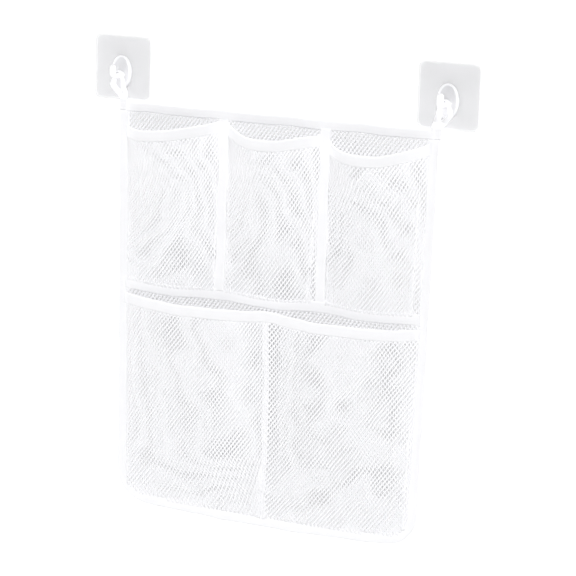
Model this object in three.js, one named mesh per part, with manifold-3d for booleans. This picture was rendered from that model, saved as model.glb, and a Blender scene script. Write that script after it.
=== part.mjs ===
// A hanging net organizer for bath toys: a flat bag with slack net pockets, two tape loops and two clear
// adhesive wall hooks. Millimetres. The origin lies on the wall midway between the hook pads, +X points to
// the right, +Z up, and the front of the bag faces -Y. "Out" is the distance from the wall, and "down" the
// distance below the top edge of the bag.

import * as THREE from 'three';
import { mergeVertices } from 'three/addons/utils/BufferGeometryUtils.js';
import Module from 'manifold-3d';

// Clearance between pieces that meet
const FIT = 0.3;

// Adhesive pads
const HOOK_SPACING = 334;
const PAD_SIDE = 60;
const PAD_CORNER = 6;
const PAD_THICKNESS = 1.4;
const ADHESIVE_MARGIN = 1.5;
const ADHESIVE_THICKNESS = 0.8;

// Moulded hooks
const BASE_WIDTH = 21;
const BASE_HEIGHT = 32;
const BASE_THICKNESS = 2;
const BASE_DROP = 4.5;
const RIM_WIDTH = 1.8;
const RIM_RISE = 1;
const ARM_DIAMETER = 6;
const ARM_DROP = 7;
const ARM_STRAIGHT = 10.6;
const ARM_BEND = 4.5;
const TIP_RISE = 3.5;
const ARM_SINK = 1;

// Hanging loops
const LOOP_TAPE_WIDTH = 6;
const LOOP_TAPE_THICKNESS = 1.2;
const LOOP_DROP = 23;
const LOOP_INSET = 4.5;
const LOOP_TAIL = 2.4;
const LOOP_OPEN_DROP = 8;
const LOOP_OPEN_WIDTH = 9.6;

// Bag outline and its bindings
const BAG_TOP_WIDTH = 328;
const BAG_BOTTOM_WIDTH = 314;
const BAG_HEIGHT = 385;
const BAG_CORNER = 30;
const BOTTOM_BOW = 4;
const NET_THICKNESS = 1;
const BINDING_WIDTH = 9.2;
const BINDING_THICKNESS = 3;
const BINDING_FOLD = 0.9;

// Upper pockets: how far the ends of each mouth lie below the top binding, how far its middle sags below
// the line between them, and how far it stands out
const LEFT_MOUTH_OUTER_DROP = 12.8;
const LEFT_MOUTH_INNER_DROP = 1.2;
const LEFT_MOUTH_SAG = 5;
const LEFT_POCKET_BULGE = 25;
const MIDDLE_MOUTH_LEFT_DROP = 2;
const MIDDLE_MOUTH_RIGHT_DROP = 4.5;
const MIDDLE_MOUTH_SAG = 8;
const MIDDLE_POCKET_BULGE = 25;
const RIGHT_MOUTH_INNER_DROP = 9;
const RIGHT_MOUTH_OUTER_DROP = 4;
const RIGHT_MOUTH_SAG = 10;
const RIGHT_POCKET_BULGE = 26;
const MOUTH_BINDING_HEIGHT = 10.4;
const MOUTH_BINDING_THICKNESS = 2;
const DIVIDER_SPACING = 104;
const DIVIDER_WIDTH = 10;
const TAPE_THICKNESS = 1;
const BASE_TAPE_DOWN = 165.5;
const BASE_TAPE_HEIGHT = 10.4;
const BASE_TAPE_SAG = 2.6;

// Lower pockets
const LOWER_MOUTH_GAP = 4;
const LOWER_MOUTH_SAG = 3;
const LOWER_MOUTH_BULGE = 13;
const LOWER_POCKET_BULGE = 20;
const SEAM_TAPE_WIDTH = 6;

// How the slack net stands out: its fullest line lies left of the middle, and its front is blunt
const FULL_SKEW = 0.85;
const FULL_BLUNTNESS = 0.85;
const HANG_BLUNTNESS = 0.75;
const HANG_TURN = 2.2;
const FOOT_BULGE = 2;

// Handle length of a curve that rounds a quarter circle, and how close points are welded
const CIRCLE_HANDLE = 0.5523;
const WELD = 1e-4;

// Fineness of the facets
const PANEL_COLUMNS = 16;
const PANEL_ROWS = 10;
const CORNER_STEPS = 8;
const ARC_STEPS = 10;
const ROUND_SIDES = 16;

// Places worked out from the sizes above
const PAD_FRONT = ADHESIVE_THICKNESS + PAD_THICKNESS;
const BASE_FRONT = PAD_FRONT + BASE_THICKNESS;
const ARM_AXIS_Z = -ARM_DROP;
const HANG_OUT = BASE_FRONT + ARM_STRAIGHT / 2;
const BAG_TOP_Z = ARM_AXIS_Z - LOOP_DROP;
const NET_FRONT = HANG_OUT + NET_THICKNESS / 2;
const SEAT_OUT = NET_FRONT + FIT;
const POCKET_EDGE_OUT = SEAT_OUT + NET_THICKNESS;
const LOWER_MOUTH_DOWN = BASE_TAPE_DOWN + BASE_TAPE_HEIGHT + LOWER_MOUTH_GAP;

const fabric = (tint) => new THREE.MeshStandardMaterial({ color: tint, roughness: 0.85, metalness: 0 });
const NET_WHITE = 0xe9eaec;
const TAPE_WHITE = 0xf7f7f8;
const CLEAR_GREY = 0xe4e5e9;
const clearPlastic = () => new THREE.MeshStandardMaterial({
  color: CLEAR_GREY,
  roughness: 0.25,
  metalness: 0,
  transparent: true,
  opacity: 0.6,
});

const wasm = await Module();
wasm.setup();

const organizer = new THREE.Group();
organizer.name = 'bath_toy_organizer';

function addPiece(name, geometry, material) {
  const mesh = new THREE.Mesh(geometry, material);
  mesh.name = name;
  organizer.add(mesh);
}

const mix = (a, b, t) => a + (b - a) * t;
const clamp01 = (t) => Math.min(1, Math.max(0, t));
const smooth = (t) => t * t * (3 - 2 * t);

// A point of the bag, from its place across, its distance down and its distance out
const bagPoint = (x, down, out) => new THREE.Vector3(x, -out, BAG_TOP_Z - down);

// A closed body from points and triangles, turned so that its faces point out
function closedBody(points, triangles) {
  let volume = 0;
  for (const [a, b, c] of triangles) {
    volume += points[a].dot(new THREE.Vector3().crossVectors(points[b], points[c]));
  }
  const facing = volume < 0 ? triangles.map(([a, b, c]) => [a, c, b]) : triangles;
  const geometry = new THREE.BufferGeometry().setFromPoints(points);
  geometry.setIndex(facing.flat());
  geometry.computeVertexNormals();
  return geometry;
}

// A body swept through rings of equal count, with flat ends
function sweep(rings) {
  const count = rings[0].length;
  const triangles = [];
  for (let k = 0; k + 1 < rings.length; k++) {
    for (let m = 0; m < count; m++) {
      const a = k * count + m;
      const b = k * count + (m + 1) % count;
      triangles.push([a, b, b + count], [a, b + count, a + count]);
    }
  }
  const last = (rings.length - 1) * count;
  for (let m = 1; m + 1 < count; m++) {
    triangles.push([0, m + 1, m], [last, last + m, last + m + 1]);
  }
  return closedBody(rings.flat(), triangles);
}

// A thin body between two grids of points with equal rows and columns
function shell(front, back) {
  const rows = front.length;
  const columns = front[0].length;
  const behind = rows * columns;
  const at = (i, j) => i * columns + j;
  const triangles = [];
  const quad = (a, b, c, d) => triangles.push([a, b, c], [a, c, d]);
  for (let i = 0; i + 1 < rows; i++) {
    for (let j = 0; j + 1 < columns; j++) {
      quad(at(i, j), at(i + 1, j), at(i + 1, j + 1), at(i, j + 1));
      quad(behind + at(i, j), behind + at(i, j + 1), behind + at(i + 1, j + 1), behind + at(i + 1, j));
    }
  }
  const wall = (p, q) => quad(p, q, behind + q, behind + p);
  for (let j = 0; j + 1 < columns; j++) {
    wall(at(0, j), at(0, j + 1));
    wall(at(rows - 1, j + 1), at(rows - 1, j));
  }
  for (let i = 0; i + 1 < rows; i++) {
    wall(at(i + 1, 0), at(i, 0));
    wall(at(i, columns - 1), at(i + 1, columns - 1));
  }
  return closedBody([...front.flat(), ...back.flat()], triangles);
}

// A grid moved along its own normals, which point to the front of the bag
function offsetGrid(grid, distance) {
  const last = (list) => list.length - 1;
  return grid.map((row, i) => row.map((point, j) => {
    const along = new THREE.Vector3().subVectors(row[Math.min(j + 1, last(row))], row[Math.max(j - 1, 0)]);
    const above = grid[Math.max(i - 1, 0)][j];
    const below = grid[Math.min(i + 1, last(grid))][j];
    const normal = new THREE.Vector3().subVectors(below, above).cross(along).normalize();
    return point.clone().addScaledVector(normal, distance);
  }));
}

// Booleans on closed geometry
function solid(geometry) {
  const bare = geometry.clone();
  bare.deleteAttribute('normal');
  bare.deleteAttribute('uv');
  const merged = mergeVertices(bare, WELD);
  return new wasm.Manifold(new wasm.Mesh({
    numProp: 3,
    vertProperties: Float32Array.from(merged.attributes.position.array),
    triVerts: Uint32Array.from(merged.index.array),
  }));
}

function solidGeometry(body) {
  const { vertProperties, triVerts } = body.getMesh();
  const geometry = new THREE.BufferGeometry();
  geometry.setAttribute('position', new THREE.BufferAttribute(Float32Array.from(vertProperties), 3));
  geometry.setIndex(Array.from(triVerts));
  geometry.computeVertexNormals();
  return geometry;
}

// A flat outline on the wall pushed out from one distance to another
function plate(shape, fromOut, toOut) {
  const geometry = new THREE.ExtrudeGeometry(shape, {
    depth: toOut - fromOut,
    bevelEnabled: false,
    curveSegments: CORNER_STEPS,
  });
  geometry.rotateX(Math.PI / 2);
  geometry.translate(0, -fromOut, 0);
  return geometry;
}

function roundedSquare(side, corner) {
  const half = side / 2;
  const inner = half - corner;
  const shape = new THREE.Shape();
  shape.absarc(inner, inner, corner, 0, Math.PI / 2);
  shape.absarc(-inner, inner, corner, Math.PI / 2, Math.PI);
  shape.absarc(-inner, -inner, corner, Math.PI, 1.5 * Math.PI);
  shape.absarc(inner, -inner, corner, 1.5 * Math.PI, 2 * Math.PI);
  return shape;
}

// Adhesive pads

function adhesiveLayer() {
  const shape = roundedSquare(PAD_SIDE - 2 * ADHESIVE_MARGIN, PAD_CORNER);
  return plate(shape, 0, ADHESIVE_THICKNESS);
}

function padPlate() {
  return plate(roundedSquare(PAD_SIDE, PAD_CORNER), ADHESIVE_THICKNESS, PAD_FRONT);
}

// Moulded hooks: an oval base with a raised rim, and a round arm that turns up at its tip

function ovalShape(inset) {
  const shape = new THREE.Shape();
  shape.absellipse(0, 0, BASE_WIDTH / 2 - inset, BASE_HEIGHT / 2 - inset, 0, 2 * Math.PI);
  return shape;
}

function ovalPlate(inset, fromOut, toOut) {
  const geometry = new THREE.ExtrudeGeometry(ovalShape(inset), {
    depth: toOut - fromOut,
    bevelEnabled: false,
    curveSegments: 2 * ROUND_SIDES,
  });
  geometry.rotateX(Math.PI / 2);
  geometry.translate(0, -fromOut, -BASE_DROP);
  return geometry;
}

function armRings() {
  const radius = ARM_DIAMETER / 2;
  const bendOut = BASE_FRONT + ARM_STRAIGHT;
  const stations = [];
  stations.push({ out: BASE_FRONT - ARM_SINK, rise: 0, turn: 0, size: 1 });
  for (let k = 0; k <= ARC_STEPS; k++) {
    const turn = (Math.PI / 2) * (k / ARC_STEPS);
    const out = bendOut + ARM_BEND * Math.sin(turn);
    stations.push({ out, rise: ARM_BEND * (1 - Math.cos(turn)), turn, size: 1 });
  }
  const tipOut = bendOut + ARM_BEND;
  for (let k = 0; k < ARC_STEPS / 2; k++) {
    const round = (Math.PI / 2) * (k / (ARC_STEPS / 2));
    const rise = ARM_BEND + TIP_RISE + radius * Math.sin(round);
    stations.push({ out: tipOut, rise, turn: Math.PI / 2, size: Math.cos(round) });
  }
  return stations.map(({ out, rise, turn, size }) => {
    const ring = [];
    for (let m = 0; m < ROUND_SIDES; m++) {
      const angle = (2 * Math.PI * m) / ROUND_SIDES;
      const side = size * radius * Math.cos(angle);
      const lift = size * radius * Math.sin(angle);
      const ringOut = out - lift * Math.sin(turn);
      ring.push(new THREE.Vector3(side, -ringOut, ARM_AXIS_Z + rise + lift * Math.cos(turn)));
    }
    return ring;
  });
}

function mouldedHook() {
  const base = solid(ovalPlate(0, PAD_FRONT, BASE_FRONT));
  const rim = solid(ovalPlate(0, PAD_FRONT, BASE_FRONT + RIM_RISE));
  const dish = solid(ovalPlate(RIM_WIDTH, PAD_FRONT, BASE_FRONT + 2 * RIM_RISE));
  return solidGeometry(base.add(rim.subtract(dish)).add(solid(sweep(armRings()))));
}

// Hanging loops: one strip of tape, turned over the hook arm, with its ends side by side and flat on the bag

function loopStrand(hookX, tailX, hand) {
  const overArm = ARM_DIAMETER / 2 + FIT + LOOP_TAPE_THICKNESS / 2;
  const endX = tailX + hand * (LOOP_TAPE_WIDTH + FIT) / 2;
  const tailZ = BAG_TOP_Z + FIT;
  const spreadZ = ARM_AXIS_Z - LOOP_OPEN_DROP;
  const stations = [{ x: endX, z: tailZ, flat: hand }];
  for (let k = 0; k <= ARC_STEPS; k++) {
    const climb = k / ARC_STEPS;
    const ease = smooth(climb);
    stations.push({
      x: mix(endX, hookX + hand * LOOP_OPEN_WIDTH / 2, ease),
      z: mix(tailZ + LOOP_TAIL, spreadZ, climb),
      flat: hand * (1 - ease),
    });
  }
  for (let k = 1; k < ARC_STEPS / 2; k++) {
    const climb = k / (ARC_STEPS / 2);
    stations.push({
      x: hookX + hand * mix(LOOP_OPEN_WIDTH / 2, overArm, smooth(climb)),
      z: mix(spreadZ, ARM_AXIS_Z, climb),
      flat: 0,
    });
  }
  return stations;
}

function loopStations(side) {
  const hookX = side * HOOK_SPACING / 2;
  const tailX = side * (BAG_TOP_WIDTH / 2 - LOOP_INSET);
  const overArm = ARM_DIAMETER / 2 + FIT + LOOP_TAPE_THICKNESS / 2;
  const over = [];
  for (let k = 0; k <= ARC_STEPS; k++) {
    const angle = Math.PI * (1 - k / ARC_STEPS);
    over.push({
      x: hookX + overArm * Math.cos(angle),
      z: ARM_AXIS_Z + overArm * Math.sin(angle),
      flat: 0,
    });
  }
  return [...loopStrand(hookX, tailX, -1), ...over, ...loopStrand(hookX, tailX, 1).reverse()];
}

function hangingLoop(side) {
  const stations = loopStations(side);
  const centres = stations.map(({ x, z }) => new THREE.Vector3(x, -HANG_OUT, z));
  const rings = stations.map(({ flat }, k) => {
    const ahead = centres[Math.min(k + 1, centres.length - 1)];
    const behind = centres[Math.max(k - 1, 0)];
    const along = new THREE.Vector3().subVectors(ahead, behind).normalize();
    const turn = flat * Math.PI / 2;
    const across = new THREE.Vector3(Math.sin(turn), Math.cos(turn), 0);
    across.addScaledVector(along, -across.dot(along)).normalize();
    const normal = new THREE.Vector3().crossVectors(along, across);
    const corner = (w, t) => centres[k].clone()
      .addScaledVector(across, w * LOOP_TAPE_WIDTH / 2)
      .addScaledVector(normal, t * LOOP_TAPE_THICKNESS / 2);
    return [corner(-1, -1), corner(1, -1), corner(1, 1), corner(-1, 1)];
  });
  return sweep(rings);
}

// Bag outline, as places across and down, from the top binding down the left side, round the bottom and up

const halfWidth = (down) => mix(BAG_TOP_WIDTH, BAG_BOTTOM_WIDTH, down / BAG_HEIGHT) / 2;

function outlineSamples() {
  const startDown = BINDING_WIDTH + FIT;
  const footDown = BAG_HEIGHT - BOTTOM_BOW;
  const sideEnd = footDown - BAG_CORNER;
  const footX = halfWidth(footDown) - BAG_CORNER;
  const handle = CIRCLE_HANDLE * BAG_CORNER;
  const sideWay = new THREE.Vector2(halfWidth(0) - halfWidth(1), 1).normalize();
  const footWay = new THREE.Vector2(footX, 2 * BOTTOM_BOW).normalize();
  const top = new THREE.Vector2(-halfWidth(startDown), startDown);
  const shoulder = new THREE.Vector2(-halfWidth(sideEnd), sideEnd);
  const foot = new THREE.Vector2(-footX, footDown);
  const side = new THREE.LineCurve(top, shoulder);
  const corner = new THREE.CubicBezierCurve(
    shoulder,
    shoulder.clone().addScaledVector(sideWay, handle),
    foot.clone().addScaledVector(footWay, -handle),
    foot,
  );
  const bottom = new THREE.QuadraticBezierCurve(
    foot,
    new THREE.Vector2(0, footDown + 2 * BOTTOM_BOW),
    new THREE.Vector2(footX, footDown),
  );
  const stretches = [
    { curve: side, until: 1 },
    { curve: corner, until: 1 },
    { curve: bottom, until: 0.5 },
  ];
  const left = [];
  for (const { curve, until } of stretches) {
    for (let k = left.length ? 1 : 0; k <= CORNER_STEPS; k++) {
      const t = until * (k / CORNER_STEPS);
      const point = curve.getPoint(t);
      const tangent = curve.getTangent(t);
      left.push({ x: point.x, down: point.y, inX: tangent.y, inDown: -tangent.x });
    }
  }
  const right = left.slice(0, -1).reverse().map(({ x, inX, ...rest }) => ({ x: -x, inX: -inX, ...rest }));
  return [...left, ...right];
}

const OUTLINE = outlineSamples();

// The edge of the net inside the bindings, and its left side down to where the foot starts
const NET_EDGE = OUTLINE.map(({ x, down, inX, inDown }) => ({
  x: x + inX * (BINDING_WIDTH + FIT),
  down: Math.max(down + inDown * (BINDING_WIDTH + FIT), BINDING_WIDTH + FIT),
}));
const LEFT_EDGE = NET_EDGE.slice(0, 2 * CORNER_STEPS + 1);
const FOOT_EDGE = NET_EDGE.slice(2 * CORNER_STEPS, -2 * CORNER_STEPS);
const FOOT_REACH = -FOOT_EDGE[0].x;

// Reads one coordinate of a run of points from another, held at both ends
function follow(points, known, value, wanted) {
  const next = points.findIndex((point) => point[known] >= value);
  if (next < 0) {
    return points[points.length - 1][wanted];
  }
  if (next === 0) {
    return points[0][wanted];
  }
  const before = points[next - 1];
  const share = (value - before[known]) / (points[next][known] - before[known]);
  return mix(before[wanted], points[next][wanted], share);
}

const sideEdge = (down) => -follow(LEFT_EDGE, 'down', down, 'x');
const bottomEdge = (x) => follow(FOOT_EDGE, 'x', x, 'down');

// Bindings: folded tape round an edge, with the fold outside

function bindingRing({ x, down, inX, inDown }) {
  const half = BINDING_THICKNESS / 2;
  const section = [
    [BINDING_FOLD, -half],
    [BINDING_WIDTH, -half],
    [BINDING_WIDTH, half],
    [BINDING_FOLD, half],
    [0, half - BINDING_FOLD],
    [0, BINDING_FOLD - half],
  ];
  return section.map(([inward, out]) => ({
    x: x + inX * inward,
    down: down + inDown * inward,
    out: HANG_OUT + out,
  }));
}

function topBinding() {
  const half = BAG_TOP_WIDTH / 2;
  return sweep([-half, half].map((x) => bindingRing({ x, down: 0, inX: 0, inDown: 1 })
    .map((p) => bagPoint(p.x, p.down, p.out))));
}

function perimeterBinding() {
  return sweep(OUTLINE.map((sample) => bindingRing(sample)
    .map((p) => bagPoint(p.x, Math.max(p.down, BINDING_WIDTH + FIT), p.out))));
}

function backPanel() {
  const shape = new THREE.Shape(NET_EDGE.map(({ x, down }) => new THREE.Vector2(x, BAG_TOP_Z - down)));
  return plate(shape, NET_FRONT - NET_THICKNESS, NET_FRONT);
}

// Slack net: how far it stands out across a pocket and down from its mouth, both from 0 to 1

const fullAcross = (s) => Math.max(0, Math.sin(Math.PI * s ** FULL_SKEW)) ** FULL_BLUNTNESS;
const fullDown = (t) => Math.max(0, 1 - clamp01(t) ** HANG_TURN) ** HANG_BLUNTNESS;

// Places across a pocket, closer together at its sewn sides
function acrossSteps(columns) {
  return Array.from({ length: columns + 1 }, (_, j) => (1 - Math.cos(Math.PI * j / columns)) / 2);
}

// A mouth binding is flush with the net inside the pocket and stands proud of it outside
function foldedOver(edge) {
  return shell(offsetGrid(edge, MOUTH_BINDING_THICKNESS - NET_THICKNESS), offsetGrid(edge, -NET_THICKNESS));
}

// The base tape hangs a little lower in the middle of each upper pocket
function baseTapeTop(x) {
  const phase = 2 * Math.PI * (x / DIVIDER_SPACING);
  return BASE_TAPE_DOWN + BASE_TAPE_SAG * (1 + Math.cos(phase)) / 2;
}

const UPPER_POCKETS = [
  {
    name: 'upper_left',
    leftDrop: LEFT_MOUTH_OUTER_DROP,
    rightDrop: LEFT_MOUTH_INNER_DROP,
    sag: LEFT_MOUTH_SAG,
    bulge: LEFT_POCKET_BULGE,
  },
  {
    name: 'upper_middle',
    leftDrop: MIDDLE_MOUTH_LEFT_DROP,
    rightDrop: MIDDLE_MOUTH_RIGHT_DROP,
    sag: MIDDLE_MOUTH_SAG,
    bulge: MIDDLE_POCKET_BULGE,
  },
  {
    name: 'upper_right',
    leftDrop: RIGHT_MOUTH_INNER_DROP,
    rightDrop: RIGHT_MOUTH_OUTER_DROP,
    sag: RIGHT_MOUTH_SAG,
    bulge: RIGHT_POCKET_BULGE,
  },
];
const DIVIDER_XS = [-DIVIDER_SPACING / 2, DIVIDER_SPACING / 2];
const dividerEdge = DIVIDER_WIDTH / 2 + FIT;

function upperPocket(index) {
  const { leftDrop, rightDrop, sag, bulge } = UPPER_POCKETS[index];
  const leftX = (down) => (index === 0 ? -sideEdge(down) : DIVIDER_XS[index - 1] + dividerEdge);
  const rightX = (down) => (index === DIVIDER_XS.length ? sideEdge(down) : DIVIDER_XS[index] - dividerEdge);
  const mouthDown = (s) => BINDING_WIDTH + mix(leftDrop, rightDrop, s) + sag * Math.sin(Math.PI * s);
  const panelTop = (s) => mouthDown(s) + MOUTH_BINDING_HEIGHT + FIT;
  const place = (s, down) => {
    const x = mix(leftX(down), rightX(down), s);
    const hang = (down - panelTop(s)) / (baseTapeTop(x) - panelTop(s));
    const out = POCKET_EDGE_OUT + fullAcross(s) * mix(FOOT_BULGE, bulge, fullDown(hang));
    return bagPoint(x, down, out);
  };
  const panel = () => {
    const front = [];
    for (let i = 0; i <= PANEL_ROWS; i++) {
      front.push(acrossSteps(PANEL_COLUMNS).map((s) => {
        const x = mix(leftX(BASE_TAPE_DOWN), rightX(BASE_TAPE_DOWN), s);
        return place(s, mix(panelTop(s), baseTapeTop(x) - FIT, i / PANEL_ROWS));
      }));
    }
    return shell(front, offsetGrid(front, -NET_THICKNESS));
  };
  const mouthBinding = () => {
    const width = rightX(0) - leftX(0);
    const end = MOUTH_BINDING_THICKNESS / width;
    const edge = [0, MOUTH_BINDING_HEIGHT].map((drop) => acrossSteps(PANEL_COLUMNS).map((step) => {
      const s = mix(end, 1 - end, step);
      return place(s, mouthDown(s) + drop);
    }));
    return foldedOver(edge);
  };
  return { panel, mouthBinding };
}

function dividerTape(x) {
  const top = BINDING_WIDTH + FIT;
  const height = baseTapeTop(x) - FIT - top;
  const geometry = new THREE.BoxGeometry(DIVIDER_WIDTH, TAPE_THICKNESS, height);
  geometry.translate(x, -(SEAT_OUT + TAPE_THICKNESS / 2), BAG_TOP_Z - top - height / 2);
  return geometry;
}

function baseTape() {
  const columns = 3 * PANEL_COLUMNS;
  const strip = (out) => [0, BASE_TAPE_HEIGHT].map((drop) => {
    const reach = sideEdge(BASE_TAPE_DOWN + drop);
    return Array.from({ length: columns + 1 }, (_, j) => {
      const x = mix(-reach, reach, j / columns);
      return bagPoint(x, baseTapeTop(x) + drop, out);
    });
  });
  return shell(strip(SEAT_OUT + TAPE_THICKNESS), strip(SEAT_OUT));
}

// Lower pockets: hand is -1 for the left one and 1 for the right one

const lowerMouthDown = (s) => LOWER_MOUTH_DOWN + LOWER_MOUTH_SAG * Math.sin(Math.PI * s);
const seamEdge = SEAM_TAPE_WIDTH / 2 + FIT;

function lowerPlace(hand, s, down) {
  const reach = sideEdge(down);
  const x = hand < 0 ? mix(-reach, -seamEdge, s) : mix(seamEdge, reach, s);
  const panelTop = lowerMouthDown(s) + MOUTH_BINDING_HEIGHT + FIT;
  const hang = clamp01((down - panelTop) / (bottomEdge(x) - panelTop));
  const belly = mix(LOWER_MOUTH_BULGE, LOWER_POCKET_BULGE, Math.sin(Math.PI * Math.min(hang, 0.5)));
  const out = POCKET_EDGE_OUT + fullAcross(s) * belly * fullDown(hang);
  return bagPoint(x, down, out);
}

function lowerPocketPanel(hand) {
  const front = [];
  for (let i = 0; i <= PANEL_ROWS; i++) {
    const fall = Math.sin((Math.PI / 2) * (i / PANEL_ROWS));
    front.push(acrossSteps(PANEL_COLUMNS).map((s) => {
      const footX = hand < 0 ? mix(-FOOT_REACH, -seamEdge, s) : mix(seamEdge, FOOT_REACH, s);
      const top = lowerMouthDown(s) + MOUTH_BINDING_HEIGHT + FIT;
      return lowerPlace(hand, s, mix(top, bottomEdge(footX), fall));
    }));
  }
  return shell(front, offsetGrid(front, -NET_THICKNESS));
}

function lowerMouthBinding() {
  const edge = [0, MOUTH_BINDING_HEIGHT].map((drop) => [-1, 1].flatMap((hand) => {
    const end = MOUTH_BINDING_THICKNESS / sideEdge(LOWER_MOUTH_DOWN);
    return acrossSteps(PANEL_COLUMNS).map((step) => {
      const s = hand < 0 ? mix(end, 1, step) : mix(0, 1 - end, step);
      return lowerPlace(hand, s, lowerMouthDown(s) + drop);
    });
  }));
  return foldedOver(edge);
}

function centreSeamTape() {
  const top = lowerMouthDown(0) + MOUTH_BINDING_HEIGHT + FIT;
  const height = bottomEdge(SEAM_TAPE_WIDTH / 2) - FIT - top;
  const geometry = new THREE.BoxGeometry(SEAM_TAPE_WIDTH, TAPE_THICKNESS, height);
  geometry.translate(0, -(SEAT_OUT + TAPE_THICKNESS / 2), BAG_TOP_Z - top - height / 2);
  return geometry;
}

// Assembly

for (const [hand, side] of [['left', -1], ['right', 1]]) {
  const hookX = side * HOOK_SPACING / 2;
  addPiece(`${hand}_adhesive_layer`, adhesiveLayer().translate(hookX, 0, 0), clearPlastic());
  addPiece(`${hand}_pad_plate`, padPlate().translate(hookX, 0, 0), clearPlastic());
  addPiece(`${hand}_hook`, mouldedHook().translate(hookX, 0, 0), clearPlastic());
  addPiece(`${hand}_hanging_loop`, hangingLoop(side), fabric(TAPE_WHITE));
}

addPiece('back_mesh_panel', backPanel(), fabric(NET_WHITE));
addPiece('top_binding', topBinding(), fabric(TAPE_WHITE));
addPiece('perimeter_binding', perimeterBinding(), fabric(TAPE_WHITE));

UPPER_POCKETS.forEach(({ name }, index) => {
  const pocket = upperPocket(index);
  addPiece(`${name}_pocket_panel`, pocket.panel(), fabric(NET_WHITE));
  addPiece(`${name}_mouth_binding`, pocket.mouthBinding(), fabric(TAPE_WHITE));
});

['left', 'right'].forEach((hand, index) => {
  addPiece(`${hand}_divider_tape`, dividerTape(DIVIDER_XS[index]), fabric(TAPE_WHITE));
});
addPiece('upper_pocket_base_tape', baseTape(), fabric(TAPE_WHITE));

addPiece('lower_left_pocket_panel', lowerPocketPanel(-1), fabric(NET_WHITE));
addPiece('lower_right_pocket_panel', lowerPocketPanel(1), fabric(NET_WHITE));
addPiece('lower_mouth_binding', lowerMouthBinding(), fabric(TAPE_WHITE));
addPiece('centre_seam_tape', centreSeamTape(), fabric(TAPE_WHITE));

export default organizer;
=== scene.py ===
"""Dresses a wall-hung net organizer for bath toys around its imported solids.

The bag is knitted net edged with folded tape, the loops are tape, and the hooks are clear mouldings on
clear adhesive pads. Lengths are in millimetres until a mesh is made. "Out" is the distance from the wall,
"down" the distance below the top edge of the bag, and the front of the bag faces -Y.
"""

import logging
import math
from dataclasses import dataclass, field
from enum import Enum
from functools import partial
from typing import Any, Callable, Mapping, Sequence

import bmesh
import bpy
import numpy as np
from mathutils import Matrix, Vector


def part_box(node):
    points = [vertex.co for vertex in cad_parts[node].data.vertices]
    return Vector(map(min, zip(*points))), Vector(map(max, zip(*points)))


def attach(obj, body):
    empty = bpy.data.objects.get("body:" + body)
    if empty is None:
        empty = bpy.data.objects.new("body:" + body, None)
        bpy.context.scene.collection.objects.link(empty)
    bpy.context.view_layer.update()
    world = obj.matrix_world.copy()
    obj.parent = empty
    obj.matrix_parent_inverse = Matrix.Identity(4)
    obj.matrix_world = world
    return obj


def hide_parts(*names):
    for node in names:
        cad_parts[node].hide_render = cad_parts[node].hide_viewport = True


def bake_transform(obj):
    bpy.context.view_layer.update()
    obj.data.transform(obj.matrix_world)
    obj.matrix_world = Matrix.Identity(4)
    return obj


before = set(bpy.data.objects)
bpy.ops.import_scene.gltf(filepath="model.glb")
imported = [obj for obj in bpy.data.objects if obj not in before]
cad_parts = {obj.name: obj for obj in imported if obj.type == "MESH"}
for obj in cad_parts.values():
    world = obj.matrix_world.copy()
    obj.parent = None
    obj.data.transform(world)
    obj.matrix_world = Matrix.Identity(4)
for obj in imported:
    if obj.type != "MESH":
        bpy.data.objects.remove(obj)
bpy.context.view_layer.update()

LOG = logging.getLogger("organizer")
MM = 0.001
CLOTH_MAP = "cloth"
FRONT = np.array([0.0, -1.0, 0.0])
DOWNWARD = np.array([0.0, 0.0, -1.0])
RIGHTWARD = np.array([1.0, 0.0, 0.0])
CIRCLE_HANDLE = 0.5523
MIX_SHARE = 0
MIX_FIRST = 6
MIX_SECOND = 7
MIX_COLOUR = 2

Array = np.ndarray
Colour = tuple[float, float, float]


class Body(Enum):
    """The bodies that pieces ride on."""

    HOOKS = "wall_hooks"
    LOOPS = "hanging_loops"
    BAG = "bag"


class Slot(Enum):
    """The record's material slots."""

    ADHESIVE = "adhesive"
    PAD = "clear_pad"
    HOOK = "clear_hook"
    TAPE = "white_tape"
    NET = "white_net"


class Side(Enum):
    """The two ends of the organizer, seen from the front."""

    LEFT = -1
    RIGHT = 1

    @property
    def word(self) -> str:
        """The side's word in the names of pieces."""
        return self.name.lower()


class Hold(Enum):
    """How a sheet of net is carried."""

    HUNG = "hung"
    GATHERED = "gathered"


class Linking(Enum):
    """What a studio lamp does with the pieces that are linked to it."""

    LIGHTS = "INCLUDE"
    SPARES = "EXCLUDE"


def mix(first: Any, second: Any, share: Any) -> Any:
    """Returns the value that lies the given share of the way from first to second."""
    return first + (second - first) * share


def ease(share: Any) -> Any:
    """Returns a share from 0 to 1 with soft ends."""
    held = np.clip(share, 0.0, 1.0)
    return held * held * (3 - 2 * held)


def unit(vectors: Array) -> Array:
    """Returns the vectors at length one."""
    return vectors / np.maximum(np.linalg.norm(vectors, axis=-1, keepdims=True), 1e-9)


def lengths_along(points: Array) -> Array:
    """Returns the distance of each point from the first, measured along the line.

    Args:
        points: The line's points.

    Returns:
        One distance for each point.
    """
    steps = np.linalg.norm(np.diff(points, axis=0), axis=1)
    return np.concatenate([[0.0], np.cumsum(steps)])


def read_at(places: Array, known: Array, values: Array) -> Array:
    """Reads rows of values at places along a known, rising coordinate.

    Args:
        places: Where to read.
        known: The coordinate of each row.
        values: The rows.

    Returns:
        One row for each place.
    """
    return np.stack([np.interp(places, known, values[:, k]) for k in range(values.shape[1])], axis=1)


def node_box(node: str) -> tuple[Array, Array]:
    """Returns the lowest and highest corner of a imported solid."""
    low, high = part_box(node)
    return np.array(low) / MM, np.array(high) / MM


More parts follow.
